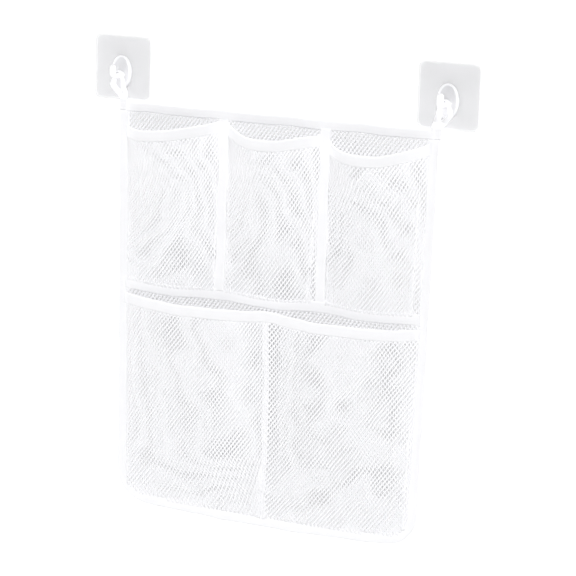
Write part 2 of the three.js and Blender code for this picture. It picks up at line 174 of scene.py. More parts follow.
def direction(azimuth: float, elevation: float) -> Array:
    """Returns the way from the organizer towards a place in front of it.

    Args:
        azimuth: The turn from the front to the right, in degrees.
        elevation: The angle above the level, in degrees.

    Returns:
        The way, at length one.
    """
    turn, rise = math.radians(azimuth), math.radians(elevation)
    return np.array([math.sin(turn) * math.cos(rise), -math.cos(turn) * math.cos(rise), math.sin(rise)])


def tube_faces(stations: int, count: int) -> tuple[Array, Array]:
    """Numbers the points of a tube and joins its rings.

    Args:
        stations: How many rings it has.
        count: How many points each ring has.

    Returns:
        The points' numbers, by station and place round the ring, and the faces between the rings.
    """
    index = np.arange(stations * count).reshape(stations, count)
    ahead = np.roll(index, -1, axis=1)
    return index, np.stack([index[:-1], ahead[:-1], ahead[1:], index[1:]], axis=-1).reshape(-1, 4)


class Wire:
    """A shader socket that takes part in arithmetic."""

    def __init__(self, graph: "Graph", socket: bpy.types.NodeSocket) -> None:
        """Keeps the socket and the graph that it belongs to."""
        self.graph = graph
        self.socket = socket

    def _with(self, operation: str, first: Any, second: Any) -> "Wire":
        """Returns the result of a Math node on two values."""
        return self.graph.wire("ShaderNodeMath", {"operation": operation}, {0: first, 1: second})

    def __add__(self, other: Any) -> "Wire":
        """Returns the sum."""
        return self._with("ADD", self, other)

    def __radd__(self, other: Any) -> "Wire":
        """Returns the sum with the other value first."""
        return self._with("ADD", other, self)

    def __sub__(self, other: Any) -> "Wire":
        """Returns the difference."""
        return self._with("SUBTRACT", self, other)

    def __rsub__(self, other: Any) -> "Wire":
        """Returns the difference with the other value first."""
        return self._with("SUBTRACT", other, self)

    def __mul__(self, other: Any) -> "Wire":
        """Returns the product."""
        return self._with("MULTIPLY", self, other)

    def __rmul__(self, other: Any) -> "Wire":
        """Returns the product with the other value first."""
        return self._with("MULTIPLY", other, self)

    def sine(self) -> "Wire":
        """Returns the sine."""
        return self.graph.wire("ShaderNodeMath", {"operation": "SINE"}, {0: self})

    def held(self) -> "Wire":
        """Returns the value held between 0 and 1."""
        return self.graph.wire("ShaderNodeClamp", {}, {"Value": self})


class Graph:
    """The node tree of one material."""

    def __init__(self, name: str) -> None:
        """Makes an empty material of that name.

        Args:
            name: The material's name.
        """
        self.material = bpy.data.materials.new(name)
        self.material.use_nodes = True
        self.tree = self.material.node_tree
        self.tree.nodes.clear()

    def node(self, kind: str, settings: Mapping[str, Any], inputs: Mapping[Any, Any]) -> bpy.types.Node:
        """Adds one node.

        Args:
            kind: The node's type.
            settings: What is set on the node itself, before its sockets.
            inputs: The value or the wire of each socket, by name or number.

        Returns:
            The node.
        """
        made = self.tree.nodes.new(kind)
        for key, value in settings.items():
            setattr(made, key, value)
        for key, value in inputs.items():
            if isinstance(value, Wire):
                self.tree.links.new(value.socket, made.inputs[key])
            else:
                made.inputs[key].default_value = value
        return made

    def wire(
        self, kind: str, settings: Mapping[str, Any], inputs: Mapping[Any, Any], output: Any = 0,
    ) -> Wire:
        """Adds one node and returns one of its outputs."""
        return Wire(self, self.node(kind, settings, inputs).outputs[output])

    def cloth_place(self) -> tuple[Wire, Wire]:
        """Returns the place along and across the cloth, in millimetres.

        Returns:
            The two places.
        """
        place = self.wire("ShaderNodeUVMap", {"uv_map": CLOTH_MAP}, {})
        parts = self.node("ShaderNodeSeparateXYZ", {}, {0: place})
        return Wire(self, parts.outputs[0]), Wire(self, parts.outputs[1])

    def noise(self, scale: float, detail: float = 2.0) -> Wire:
        """Returns soft noise in the object's own space, with that many cells in a metre."""
        place = self.wire("ShaderNodeTexCoord", {}, {}, "Object")
        return self.wire("ShaderNodeTexNoise", {}, {"Vector": place, "Scale": scale, "Detail": detail})

    def blend(self, share: Wire, first: Colour, second: Colour) -> Wire:
        """Returns a colour between two, by a share. The sockets go by number, because their names repeat."""
        inputs = {MIX_SHARE: share, MIX_FIRST: (*first, 1.0), MIX_SECOND: (*second, 1.0)}
        return self.wire("ShaderNodeMix", {"data_type": "RGBA"}, inputs, MIX_COLOUR)

    def bump(self, height: Wire, depth: float) -> Wire:
        """Returns a normal that follows a height, in millimetres at a height of one."""
        return self.wire("ShaderNodeBump", {}, {"Height": height, "Distance": depth * MM})

    def finish(self, sockets: Mapping[str, Any]) -> bpy.types.Material:
        """Adds the surface shader with these sockets and returns the material.

        Args:
            sockets: The value or the wire of each socket.

        Returns:
            The material.
        """
        shader = self.wire("ShaderNodeBsdfPrincipled", {}, sockets)
        self.node("ShaderNodeOutputMaterial", {}, {"Surface": shader})
        return self.material


@dataclass(frozen=True)
class TapeFinish:
    """White woven tape: fine ribs across it, a soft sheen and slightly uneven whiteness."""

    name: str
    light: Colour
    dark: Colour
    rib_pitch: float = 0.9
    rib_depth: float = 0.05
    rib_share: float = 0.7
    base_shade: float = 0.24
    weave_shade: float = 0.12
    uneven_shade: float = 0.45
    uneven_scale: float = 90.0
    roughness: float = 0.86
    roughness_fall: float = 0.12
    sheen: float = 0.15
    gloss: float = 0.25

    def material(self) -> bpy.types.Material:
        """Returns the tape's material.

        Returns:
            The material.
        """
        graph = Graph(self.name)
        along, across = graph.cloth_place()
        ribs = (along * (math.tau / self.rib_pitch)).sine()
        yarns = (across * (math.tau / self.rib_pitch)).sine()
        weave = ribs * self.rib_share + ribs * yarns * (1 - self.rib_share)
        uneven = graph.noise(self.uneven_scale)
        shade = self.base_shade + weave * self.weave_shade + uneven * self.uneven_shade
        return graph.finish({
            "Base Color": graph.blend(shade, self.dark, self.light),
            "Roughness": self.roughness - uneven * self.roughness_fall,
            "Sheen Weight": self.sheen,
            "Specular IOR Level": self.gloss,
            "Normal": graph.bump(weave, self.rib_depth),
        })


@dataclass(frozen=True)
class ThreadFinish:
    """White twisted thread, as in the knit of the net and in the stitches."""

    name: str
    light: Colour
    dark: Colour
    twist_pitch: float
    twist_depth: float
    base_shade: float = 0.3
    twist_shade: float = 0.15
    uneven_shade: float = 0.4
    uneven_scale: float = 60.0
    roughness: float = 0.7
    roughness_rise: float = 0.08
    sheen: float = 0.4
    gloss: float = 0.3

    def material(self) -> bpy.types.Material:
        """Returns the thread's material.

        Returns:
            The material.
        """
        graph = Graph(self.name)
        along, around = graph.cloth_place()
        twist = (along * (math.tau / self.twist_pitch) + around * math.tau).sine()
        uneven = graph.noise(self.uneven_scale)
        shade = self.base_shade + twist * self.twist_shade + uneven * self.uneven_shade
        return graph.finish({
            "Base Color": graph.blend(shade, self.dark, self.light),
            "Roughness": self.roughness + twist * self.roughness_rise,
            "Specular IOR Level": self.gloss,
            "Sheen Weight": self.sheen,
            "Normal": graph.bump(twist, self.twist_depth),
        })


@dataclass(frozen=True)
class ClearFinish:
    """Slightly milky clear plastic with faint clouds and a smooth face, whiter where thick, and a painted
    rim highlight.
    """

    name: str
    light: Colour
    dark: Colour
    cover: float
    thick_cover: float
    clouds: float
    roughness: float
    grain_depth: float
    cloud_scale: float = 38.0
    cloud_detail: float = 3.0
    grain_scale: float = 700.0
    # How the painted rim highlight fades out towards the bottom of a moulding, which leaves painted shade
    # there.
    rim_slope: float = 1.6
    rim_start: float = 1.3
    roughness_rise: float = 0.08
    coat: float = 0.15
    coat_roughness: float = 0.1
    ior: float = 1.49

    def material(self) -> bpy.types.Material:
        """Returns the plastic's material.

        Returns:
            The material.
        """
        graph = Graph(self.name)
        cloud = graph.noise(self.cloud_scale, self.cloud_detail)
        grain = graph.noise(self.grain_scale)
        thick_and_highlit, around = graph.cloth_place()
        # Painted whiteness: thicker plastic, and on a moulding's rim a painted highlight that fades to
        # painted shade at the bottom.
        thickness = thick_and_highlit * (around * self.rim_slope + self.rim_start).held()
        cover = self.cover + thickness * (self.thick_cover - self.cover)
        return graph.finish({
            "Base Color": graph.blend((cloud + thickness).held(), self.dark, self.light),
            "Roughness": self.roughness + cloud * self.roughness_rise,
            "Alpha": cover - self.clouds / 2 + cloud * self.clouds,
            "Coat Weight": self.coat,
            "Coat Roughness": self.coat_roughness,
            "IOR": self.ior,
            "Normal": graph.bump(grain, self.grain_depth),
        })


@dataclass
class Finishes:
    """The materials of the organizer, one for each finish."""

    tape: bpy.types.Material = field(init=False)
    seam: bpy.types.Material = field(init=False)
    net: bpy.types.Material = field(init=False)
    stitch: bpy.types.Material = field(init=False)
    pad: bpy.types.Material = field(init=False)
    adhesive: bpy.types.Material = field(init=False)
    hook: bpy.types.Material = field(init=False)
    white: float = 0.94
    bright: float = 0.9
    fall: float = 0.06
    bright_fall: float = 0.03
    # How much darker the seam tape's white is painted, as painted shade of the net that lies over it.
    seam_fall: float = 0.1
    clear: float = 0.88
    pad_fall: float = 0.12
    hook_fall: float = 0.4
    cover: float = 0.26
    adhesive_share: float = 0.6
    thick_cover: float = 0.9
    blue: float = 0.018

    def __post_init__(self) -> None:
        """Makes the materials."""
        white = self._tint(self.white)
        shade = self._tint(self.white - self.fall)
        # The seam tape under the lower pockets' net is painted darker: painted shade of the net.
        covered = self._tint(self.white - self.seam_fall)
        bright = self._tint(self.bright)
        soft = self._tint(self.bright - self.bright_fall)
        pale = self._tint(self.clear)
        grey = self._tint(self.clear - self.pad_fall)
        # The moulding's darker milky tone shows where it is thin, and at the bottom of the rim as painted
        # shade where the painted highlight fades out.
        milky = self._tint(self.clear - self.hook_fall)
        self.tape = TapeFinish("white_binding_tape", white, shade).material()
        self.seam = TapeFinish("white_seam_tape", covered, covered).material()
        net = ThreadFinish("white_net_thread", bright, soft, twist_pitch=1.1, twist_depth=0.05)
        self.net = net.material()
        stitch = ThreadFinish("white_sewing_thread", white, shade, twist_pitch=0.5, twist_depth=0.03)
        self.stitch = stitch.material()
        thin, thick = self.cover, self.thick_cover
        pad = ClearFinish(
            "clear_pad_sheet", pale, grey, thin, thin, clouds=0.04, roughness=0.3, grain_depth=0.002,
        )
        self.pad = pad.material()
        sticky = thin * self.adhesive_share
        adhesive = ClearFinish(
            "clear_adhesive", pale, grey, sticky, sticky, clouds=0.05, roughness=0.4, grain_depth=0.003,
        )
        self.adhesive = adhesive.material()
        hook = ClearFinish(
            "clear_moulding", white, milky, thick, thick, clouds=0.01, roughness=0.15, grain_depth=0.002,
        )
        self.hook = hook.material()

    def _tint(self, level: float) -> Colour:
        """Returns a white of that level with a trace of blue."""
        return (level, level, level + self.blue)


class MeshDraft:
    """Gathers points, faces and cloth places in millimetres, and makes one object of them."""

    def __init__(self, name: str) -> None:
        """Starts an empty draft for a piece of that name.

        Args:
            name: The piece's name.
        """
        self.name = name
        self._points: list[Array] = []
        self._places: list[Array] = []
        self._faces: list[list[int]] = []
        self._count = 0

    def _add(self, points: Array, places: Array, faces: Array) -> Array:
        """Adds points with their cloth places and faces, and returns the points' numbers.

        Args:
            points: The points.
            places: Their places on the cloth.
            faces: The faces, by number among these points.

        Returns:
            The points' numbers in the draft.
        """
        numbers = self._count + np.arange(len(points))
        self._points.append(points)
        self._places.append(places)
        self._faces.extend((faces + self._count).tolist())
        self._count += len(points)
        return numbers

    def sweep(self, rings: Array, along: Array, across: Array) -> None:
        """Adds a closed body through rings of points.

        Args:
            rings: The points, by station and place round the ring.
            along: Each station's place along the cloth.
            across: The place across the cloth, round the ring.
        """
        stations, count = rings.shape[:2]
        _, quads = tube_faces(stations, count)
        places = np.stack(np.broadcast_arrays(along[:, None], across[None, :]), axis=-1).reshape(-1, 2)
        numbers = self._add(rings.reshape(-1, 3), places, quads)
        self._faces.append(numbers[:count][::-1].tolist())
        self._faces.append(numbers[-count:].tolist())

    def copies(self, shape: Array, faces: Array, centres: Array, axes: Sequence[Array]) -> None:
        """Adds copies of a small body.

        Args:
            shape: The body's points along its three axes.
            faces: Its faces, as four point numbers each.
            centres: Where the copies lie.
            axes: The three axes of every copy.
        """
        spread = sum(shape[None, :, k, None] * axes[k][:, None, :] for k in range(3))
        points = (centres[:, None, :] + spread).reshape(-1, 3)
        places = np.tile(shape[:, :2], (len(centres), 1))
        shifts = np.arange(len(centres)) * len(shape)
        self._add(points, places, (faces[None] + shifts[:, None, None]).reshape(-1, 4))

    def build(self, material: bpy.types.Material) -> bpy.types.Object:
        """Returns the piece as an object with its faces pointing out.

        Args:
            material: The piece's material.

        Returns:
            The object.
        """
        points = np.concatenate(self._points) * MM
        mesh = bpy.data.meshes.new(self.name)
        mesh.from_pydata(points.tolist(), [], self._faces)
        corners = np.zeros(len(mesh.loops), np.int32)
        mesh.loops.foreach_get("vertex_index", corners)
        layer = mesh.uv_layers.new(name=CLOTH_MAP)
        layer.data.foreach_set("uv", np.concatenate(self._places)[corners].astype(np.float32).ravel())
        work = bmesh.new()
        work.from_mesh(mesh)
        bmesh.ops.recalc_face_normals(work, faces=work.faces)
        work.to_mesh(mesh)
        work.free()
        mesh.polygons.foreach_set("use_smooth", np.ones(len(mesh.polygons), bool))
        mesh.materials.append(material)
        piece = bpy.data.objects.new(self.name, mesh)
        bpy.context.scene.collection.objects.link(piece)
        return piece


def settle(
    piece: bpy.types.Object, body: Body, nodes: Sequence[str] = (),
) -> bpy.types.Object:
    """Puts a piece on its body and the solids that it stands for.

    Args:
        piece: The piece.
        body: The body that it rides on.
        nodes: The solids that it replaces.

    Returns:
        The piece.
    """
    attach(piece, body.value)
    if nodes:
        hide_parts(*nodes)
    LOG.info("%s: %d faces on %s", piece.name, len(piece.data.polygons), body.value)
    return piece


def hang_net(
    draft: MeshDraft, finishes: Finishes, node: str, cloth: tuple[float, float],
) -> None:
    """Makes a sheet of net in place of its solid and puts it on the bag.

    Args:
        draft: The draft of its strands.
        finishes: The materials.
        node: The solid that it replaces.
        cloth: Its flat width and length, which are not used.
    """
    piece = settle(draft.build(finishes.net), Body.BAG, [node])
    cloth[0] * MM
    cloth[1] * MM


@dataclass
class SewingLine:
    """A line that tape is sewn along: its points, the way across the tape and the way its face looks."""

    points: Array
    inward: Array
    facing: Array

    def resampled(self, step: float) -> tuple["SewingLine", Array]:
        """Returns the line at even steps, and the place of each point along it.

        Args:
            step: The distance between points, nearly.

        Returns:
            The line and the places.
        """
        known = lengths_along(self.points)
        places = np.linspace(0.0, known[-1], max(2, round(known[-1] / step) + 1))
        return self.at(places), places

    def at(self, places: Array) -> "SewingLine":
        """Returns the line read at places along it.

        Args:
            places: Distances from its start.

        Returns:
            A line with one point for each place.
        """
        known = lengths_along(self.points)
        return SewingLine(
            read_at(places, known, self.points),
            unit(read_at(places, known, self.inward)),
            unit(read_at(places, known, self.facing)),
        )

    @property
    def length(self) -> float:
        """The length of the line."""
        return float(lengths_along(self.points)[-1])

    @staticmethod
    def flat(points: Array, inward: Array, facing: Array) -> "SewingLine":
        """Returns a line whose ways are the same all along, or given for each point."""
        count = len(points)
        return SewingLine(points, np.broadcast_to(inward, (count, 3)), np.broadcast_to(facing, (count, 3)))

    @staticmethod
    def hanging(points: Array) -> "SewingLine":
        """Returns a line whose tape hangs straight down and faces away from the bag."""
        facing = unit(np.cross(DOWNWARD, unit(np.gradient(points, axis=0))))
        return SewingLine.flat(points, DOWNWARD, facing)


@dataclass
class StitchRow:
    """A row of lock stitches along a tape."""

    pitch: float = 3.2
    length: float = 2.5
    thickness: float = 0.55
    sides: int = 6
    glance: float = 0.4

    def shape(self) -> tuple[Array, Array]:
        """Returns the points and faces of one stitch, which tapers to both ends.

        Returns:
            The points and the faces.
        """
        reach = np.array([-1.0, -0.82, -0.35, 0.35, 0.82, 1.0]) * self.length / 2
        girth = np.array([0.15, 0.7, 1.0, 1.0, 0.7, 0.15]) * self.thickness / 2
        turns = np.arange(self.sides) * math.tau / self.sides
        points = np.stack([
            np.repeat(reach, self.sides),
            np.outer(girth, np.cos(turns)).ravel(),
            np.outer(girth, np.sin(turns)).ravel(),
        ], axis=1)
        index, quads = tube_faces(len(reach), self.sides)
        halves = ([0, 1, 2, 3], [3, 4, 5, 0])
        ends = np.array([index[end][half] for end in (0, -1) for half in halves])
        return points, np.concatenate([quads, ends])

    def sew(self, draft: MeshDraft, line: SewingLine, inset: float, lift: float) -> None:
        """Adds the row to a draft.

        Args:
            draft: The draft that takes the stitches.
            line: The line of the tape's edge.
            inset: How far the row lies from that edge.
            lift: How far it lies from the tape's middle, towards its face.
        """
        count = max(1, int(line.length / self.pitch))
        places = (np.arange(count) + 0.5) * line.length / count
        here = line.at(places)
        ways = unit(line.at(places + self.glance).points - line.at(places - self.glance).points)
        centres = here.points + here.inward * inset + here.facing * lift
        shape, faces = self.shape()
        draft.copies(shape, faces, centres, [ways, here.inward, here.facing])


@dataclass
class Tape:
    """A folded or single tape that is sewn along a line."""

    name: str
    node: str
    line: SewingLine
    width: float
    thickness: float
    seams: Sequence[float]
    sewn_behind: bool = True
    # Whether the tape lies under net and takes the seam white, which is painted darker as the net's shade.
    covered: bool = False
    tuck: float = 0.0
    step: float = 1.1
    edge_round: float = 1.0
    dent: float = 0.22
    dent_width: float = 0.9
    dent_floor: float = 0.45
    press_floor: float = 0.3
    press_start: float = 0.6
    sway: float = 0.3
    sway_spans: tuple[float, float, float] = (71.0, 37.0, 17.0)
    columns: int = 12

    def _height(self, inset: Array, along: Array) -> Array:
        """Returns half the tape's thickness, by station and place across it.

        Args:
            inset: The places across the tape.
            along: The stations along it.

        Returns:
            The half thickness, with rounded edges and the dents of the seams.
        """
        to_edge = np.minimum(inset, self.width - inset)
        rounding = np.sqrt(np.maximum(0.0, 1 - (1 - np.clip(to_edge / self.edge_round, 0, 1)) ** 2))
        pull = np.zeros((len(along), len(inset)))
        between = 0.5 + 0.5 * np.cos(along * math.tau / StitchRow.pitch)
        dents = mix(self.dent_floor, 1.0, between)
        for seam in self.seams:
            pull += np.outer(dents, np.exp(-(((inset - seam) / self.dent_width) ** 2)))
        pressed = np.ones(len(along))
        if self.tuck:
            ends = np.minimum(along, along[-1] - along)
            pressed = mix(self.press_floor, 1.0, ease(ends / self.tuck - self.press_start))
        return (self.thickness / 2) * rounding[None, :] * (1 - self.dent * pull) * pressed[:, None]

    def _swayed(self) -> SewingLine:
        """Returns the line with the slight unevenness of sewn tape.

        Returns:
            The uneven line.
        """
        draws = np.random.default_rng(sum(map(ord, self.name)))
        along = lengths_along(self.line.points)
        drift = np.zeros(len(along))
        lift = np.zeros(len(along))
        longest = max(self.sway_spans)
        for span in self.sway_spans:
            phases = draws.uniform(0, math.tau, 2)
            drift += np.sin(along * math.tau / span + phases[0]) * self.sway * span / longest
            lift += np.sin(along * math.tau / span + phases[1]) * self.sway * span / longest
        moved = self.line.inward * drift[:, None] + self.line.facing * lift[:, None] / 2
        return SewingLine(self.line.points + moved, self.line.inward, self.line.facing)

    def build(self, finishes: Finishes) -> None:
        """Makes the tape and its stitches.

        Args:
            finishes: The materials.
        """
        line, along = self._swayed().resampled(self.step)
        share = (1 - np.cos(np.linspace(0, math.pi, self.columns + 1))) / 2
        inset = share * self.width
        height = self._height(inset, along)
        base = line.points[:, None] + line.inward[:, None] * inset[None, :, None]
        lift = line.facing[:, None] * height[..., None]
        rings = np.concatenate([base + lift, (base - lift)[:, -2:0:-1]], axis=1)
        draft = MeshDraft(self.name)
        draft.sweep(rings, along, np.concatenate([inset, inset[-2:0:-1]]))
        # Tape under net takes the seam material, whose white is painted darker as painted shade of the net.
        material = finishes.seam if self.covered else finishes.tape
        settle(draft.build(material), Body.BAG, [self.node])
        stitches = MeshDraft(f"{self.name}_stitching")
        row = StitchRow()
        rise = self.thickness / 2 * (1 - self.dent)
        for seam in self.seams:
            row.sew(stitches, line, seam, rise)
            if self.sewn_behind:
                row.sew(stitches, line, seam, -rise)
        settle(stitches.build(finishes.stitch), Body.BAG)


@dataclass
class BagShape:
    """The outline of the bag and the distances at which its layers lie."""

    bottom_width: float = 314.0
    corner: float = 30.0
    bottom_bow: float = 4.0
    fit: float = 0.3
    net_thickness: float = 1.0
    draw: float = 4.5
    draw_top: float = 179.0
    draw_rise: float = 10.0
    draw_low: float = 191.0
    draw_fade: float = 70.0
    draw_half: float = 20.0
    outline_steps: int = 41
    top_width: float = field(init=False)
    height: float = field(init=False)
    binding: float = field(init=False)
    binding_thickness: float = field(init=False)
    top_z: float = field(init=False)
    hang_out: float = field(init=False)

    def __post_init__(self) -> None:
        """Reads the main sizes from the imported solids."""
        low, high = node_box("top_binding")
        foot, _ = node_box("perimeter_binding")
        self.top_width = high[0] - low[0]
        self.binding = high[2] - low[2]
        self.binding_thickness = high[1] - low[1]
        self.top_z = high[2]
        self.hang_out = -(low[1] + high[1]) / 2
        self.height = self.top_z - foot[2]

    @property
    def seat_out(self) -> float:
        """The distance of what lies on the front of the back panel."""
        return self.hang_out + self.net_thickness / 2 + self.fit

    @property
    def pocket_out(self) -> float:
        """The distance of the pockets' sewn edges."""
        return self.seat_out + self.net_thickness / 2

    def point(self, x: Any, down: Any, out: Any) -> Array:
        """Returns points of the bag from their places across, down and out."""
        heights = self.top_z - np.asarray(down)
        return np.stack(np.broadcast_arrays(x, -np.asarray(out), heights), axis=-1)

    def half_width(self, down: Any) -> Any:
        """Returns half the bag's width at a distance down."""
        return mix(self.top_width, self.bottom_width, down / self.height) / 2

    def left_outline(self) -> tuple[Array, Array]:
        """Returns the outline's left side with its corner, and half of its bottom, as x and down.

        Returns:
            The points of both.
        """
        foot_down = self.height - self.bottom_bow
        side_end = foot_down - self.corner
        foot_x = self.half_width(foot_down) - self.corner
        handle = CIRCLE_HANDLE * self.corner
        slope = unit(np.array([self.half_width(0.0) - self.half_width(1.0), 1.0]))
        level = unit(np.array([foot_x, 2 * self.bottom_bow]))
        start = np.array([-self.half_width(self.binding), self.binding])
        shoulder = np.array([-self.half_width(side_end), side_end])
        foot = np.array([-foot_x, foot_down])
        share = np.linspace(0, 1, self.outline_steps)[:, None]
        left = 1 - share
        side = mix(start, shoulder, share)
        first = shoulder + slope * handle
        second = foot - level * handle
        turn = left**3 * shoulder + 3 * left**2 * share * first
        turn += 3 * left * share**2 * second + share**3 * foot
        half = share / 2
        dip = np.array([0.0, foot_down + 2 * self.bottom_bow])
        far = np.array([foot_x, foot_down])
        bottom = (1 - half) ** 2 * foot + 2 * (1 - half) * half * dip + half**2 * far
        return np.concatenate([side, turn[1:]]), bottom

    def outline(self) -> tuple[Array, Array]:
        """Returns the outline from the top left round to the top right, and the ways inward.

        Returns:
            The points and the ways, as x and down.
        """
        side, bottom = self.left_outline()
        left = np.concatenate([side, bottom[1:]])
        points = np.concatenate([left, left[-2::-1] * [-1, 1]])
        ways = unit(np.gradient(points, lengths_along(points), axis=0))
        return points, np.stack([ways[:, 1], -ways[:, 0]], axis=1)

    def inset_edges(self, inset: float) -> tuple[Array, Array]:
        """Returns the left side and the bottom's left half, both moved in by an inset.

        Args:
            inset: How far they are moved in.

        Returns:
            The points of both, as x and down.
        """
        points, inward = self.outline()
        moved = points + inward * inset
        side, bottom = self.left_outline()
        return moved[: len(side)], moved[len(side) - 1: len(side) + len(bottom) - 1]

    def reach(self, down: Array, inset: float) -> Array:
        """Returns how far the inset side lies from the middle, held past its foot."""
        side, _ = self.inset_edges(inset)
        return np.interp(down, side[:, 1], -side[:, 0])

    def floor(self, x: Array, inset: float) -> Array:
        """Returns how far down the inset bottom edge lies, held past the corners."""
        _, bottom = self.inset_edges(inset)
        return np.interp(-np.abs(x), bottom[:, 0], bottom[:, 1])

    def drawn(self, x: Array, down: Array) -> Array:
        """Returns how far the slack of the lower mouths draws the back panel out at their seam's top.

        Args:
            x: The places across the bag.
            down: The places down the bag.

        Returns:
            The distances out.
        """
        rise = ease((down - self.draw_top) / self.draw_rise)
        fall = rise * (1 - ease((down - self.draw_low) / self.draw_fade))
        return self.draw * fall * np.exp(-((x / self.draw_half) ** 2))

    def inside(self, points: Array, inset: float) -> Array:
        """Returns whether points lie within the inset outline, which the bindings leave or just cover.

        Args:
            points: The points.
            inset: How far the outline is moved in.

        Returns:
            One answer for each point.
        """
        side, bottom = self.inset_edges(inset)
        edge = np.concatenate([side, bottom[1:]])
        reach = np.interp(self.top_z - points[..., 2], edge[:, 1], -edge[:, 0], right=-1.0)
        return np.abs(points[..., 0]) <= reach


@dataclass
class NetKnit:
    """Knitted net with rhombic holes: zigzag strands that meet their neighbours row by row."""

    strand_pitch: float = 2.05
    row_pitch: float = 2.6
    zigzag: float = 0.76
    thread_width: float = 1.6
    thread_depth: float = 0.6
    thread_crown: float = 0.75
    slant: float = 13.0
    facing: float = 0.4
    samples: int = 260
    jitter: float = 0.012
    pull: float = 0.4
    pulls: int = 5
    pull_span: tuple[float, float] = (26.0, 60.0)
    edge_span: float = 18.0

    def knit(
        self, name: str, place: Callable[[Array, Array], Array], inside: Callable[[Array], Array],
        cloth: tuple[float, float],
    ) -> MeshDraft:
        """Knits a panel.

        Args:
            name: The piece's name.
            place: Gives points from shares across and down the panel.
            inside: Tells which points belong to the panel.
            cloth: The panel's flat width and length.

        Returns:
            The draft of its strands.
        """
        rows = round(cloth[1] / self.row_pitch)
        strands = round(cloth[0] / self.strand_pitch)
        across = np.linspace(0, 1, self.samples)
        down = np.linspace(0, 1, rows + 1)
        grid = place(*np.meshgrid(across, down))
        normals = unit(np.cross(np.gradient(grid, axis=0), np.gradient(grid, axis=1)))
        normals = unit(np.where(normals[..., 1:2] > 0, -normals, normals) + FRONT * self.facing)
        draws = np.random.default_rng(sum(map(ord, name)))
        lines = np.zeros((rows + 1, strands, 3))
        faces = np.zeros((rows + 1, strands, 3))
        number = np.arange(strands)
        pulled = self._pulled(draws, rows + 1, strands)
        for row in range(rows + 1):
            known = lengths_along(grid[row])
            swing = np.where((number + row) % 2 == 0, 0.5, -0.5) * self.zigzag
            loose = draws.normal(0, self.jitter, strands)
            wanted = np.clip((number + 0.5 + swing + loose + pulled[row]) / strands, 0, 1) * known[-1]
            lines[row] = read_at(wanted, known, grid[row])
            faces[row] = read_at(wanted, known, normals[row])
        kept = inside(lines)
        draft = MeshDraft(name)
        for strand in number:
            for run in self._runs(kept[:, strand]):
                self._strand(draft, lines[run, strand], unit(faces[run, strand]))
        return draft

    def _pulled(self, draws: np.random.Generator, rows: int, strands: int) -> Array:
        """Returns how far slack net is pulled aside in slow waves, in strands, by row and strand.

        Args:
            draws: The source of the waves' draws.
            rows: The number of rows.
            strands: The number of strands.

        Returns:
            The pull at each row and strand.
        """
        down, across = np.meshgrid(
            np.arange(rows) * self.row_pitch, np.arange(strands) * self.strand_pitch, indexing="ij",
        )
        waves = np.zeros((rows, strands))
        for _ in range(self.pulls):
            turn, start = draws.uniform(0, math.tau, 2)
            bend = math.tau / draws.uniform(*self.pull_span)
            waves += np.sin(bend * (across * math.cos(turn) + down * math.sin(turn)) + start)
        edge = np.minimum(across, across[:, ::-1]) / self.edge_span
        return waves * ease(edge) * self.pull / math.sqrt(self.pulls)

    @staticmethod
    def _runs(kept: Array) -> list[slice]:
        """Returns the stretches of a strand that belong to the panel."""
        edges = np.flatnonzero(np.diff(np.concatenate([[False], kept, [False]]).astype(int)))
        return [slice(first, last) for first, last in edges.reshape(-1, 2) if last - first > 1]

    def _strand(self, draft: MeshDraft, points: Array, facing: Array) -> None:
        """Adds one strand, flat on the cloth.

        Args:
            draft: The draft that takes the strand.
            points: The strand's course.
            facing: The way that the cloth faces at each point.
        """
        along = lengths_along(points)
        ways = unit(np.gradient(points, axis=0))
        level = unit(np.cross(facing, ways))
        slant = math.radians(self.slant)
        side = (level * math.cos(slant) + ways * math.sin(slant)) * self.thread_width / 2
        lift = unit(np.cross(ways, level)) * self.thread_depth / 2
        crown = side * self.thread_crown
        corners = [crown + lift, lift - crown, -side - lift, side - lift]
        rings = points[:, None] + np.stack(corners, axis=1)
        draft.sweep(rings, along, np.arange(len(corners)) / len(corners))


def stands_across(share: Array, lean: float = 0.85, softness: float = 0.85) -> Array:
    """Returns how fully slack net stands out across a pocket, fullest left of its middle.

    Args:
        share: The share across the pocket.
        lean: How far its fullest place lies to the left, where less is further.
        softness: How softly the net leaves its seams.

    Returns:
        A fullness from 0 to 1 for each share.
    """
    return np.maximum(0.0, np.sin(math.pi * np.clip(share, 0, 1) ** lean)) ** softness


def stands_gently(share: Array) -> Array:
    """Returns how fully slack net stands out across a pocket well below its mouth."""
    return stands_across(share, lean=0.88, softness=1.25)


def stands_down(share: Array, hold: float = 2.2, softness: float = 0.75) -> Array:
    """Returns how fully slack net stands out from its mouth down to its foot.

    Args:
        share: The share down the net.
        hold: How long it stays full below the mouth, where more is longer.
        softness: How softly it reaches its foot.

    Returns:
        A fullness from 0 to 1 for each share.
    """
    return np.maximum(0.0, 1 - np.clip(share, 0, 1) ** hold) ** softness


def falls_back(share: Array, slack: float = 0.3, reach: float = 0.38) -> Array:
    """Returns how fully an upper pocket's net stands out from its mouth, below which it falls back.

    Args:
        share: The share down the net.
        slack: How much of its fullness is left where it has fallen back.
        reach: The share down by which it has done so.

    Returns:
        A fullness from 0 to 1 for each share.
    """
    return mix(slack * stands_down(share), 1.0, 1 - ease(share / reach))


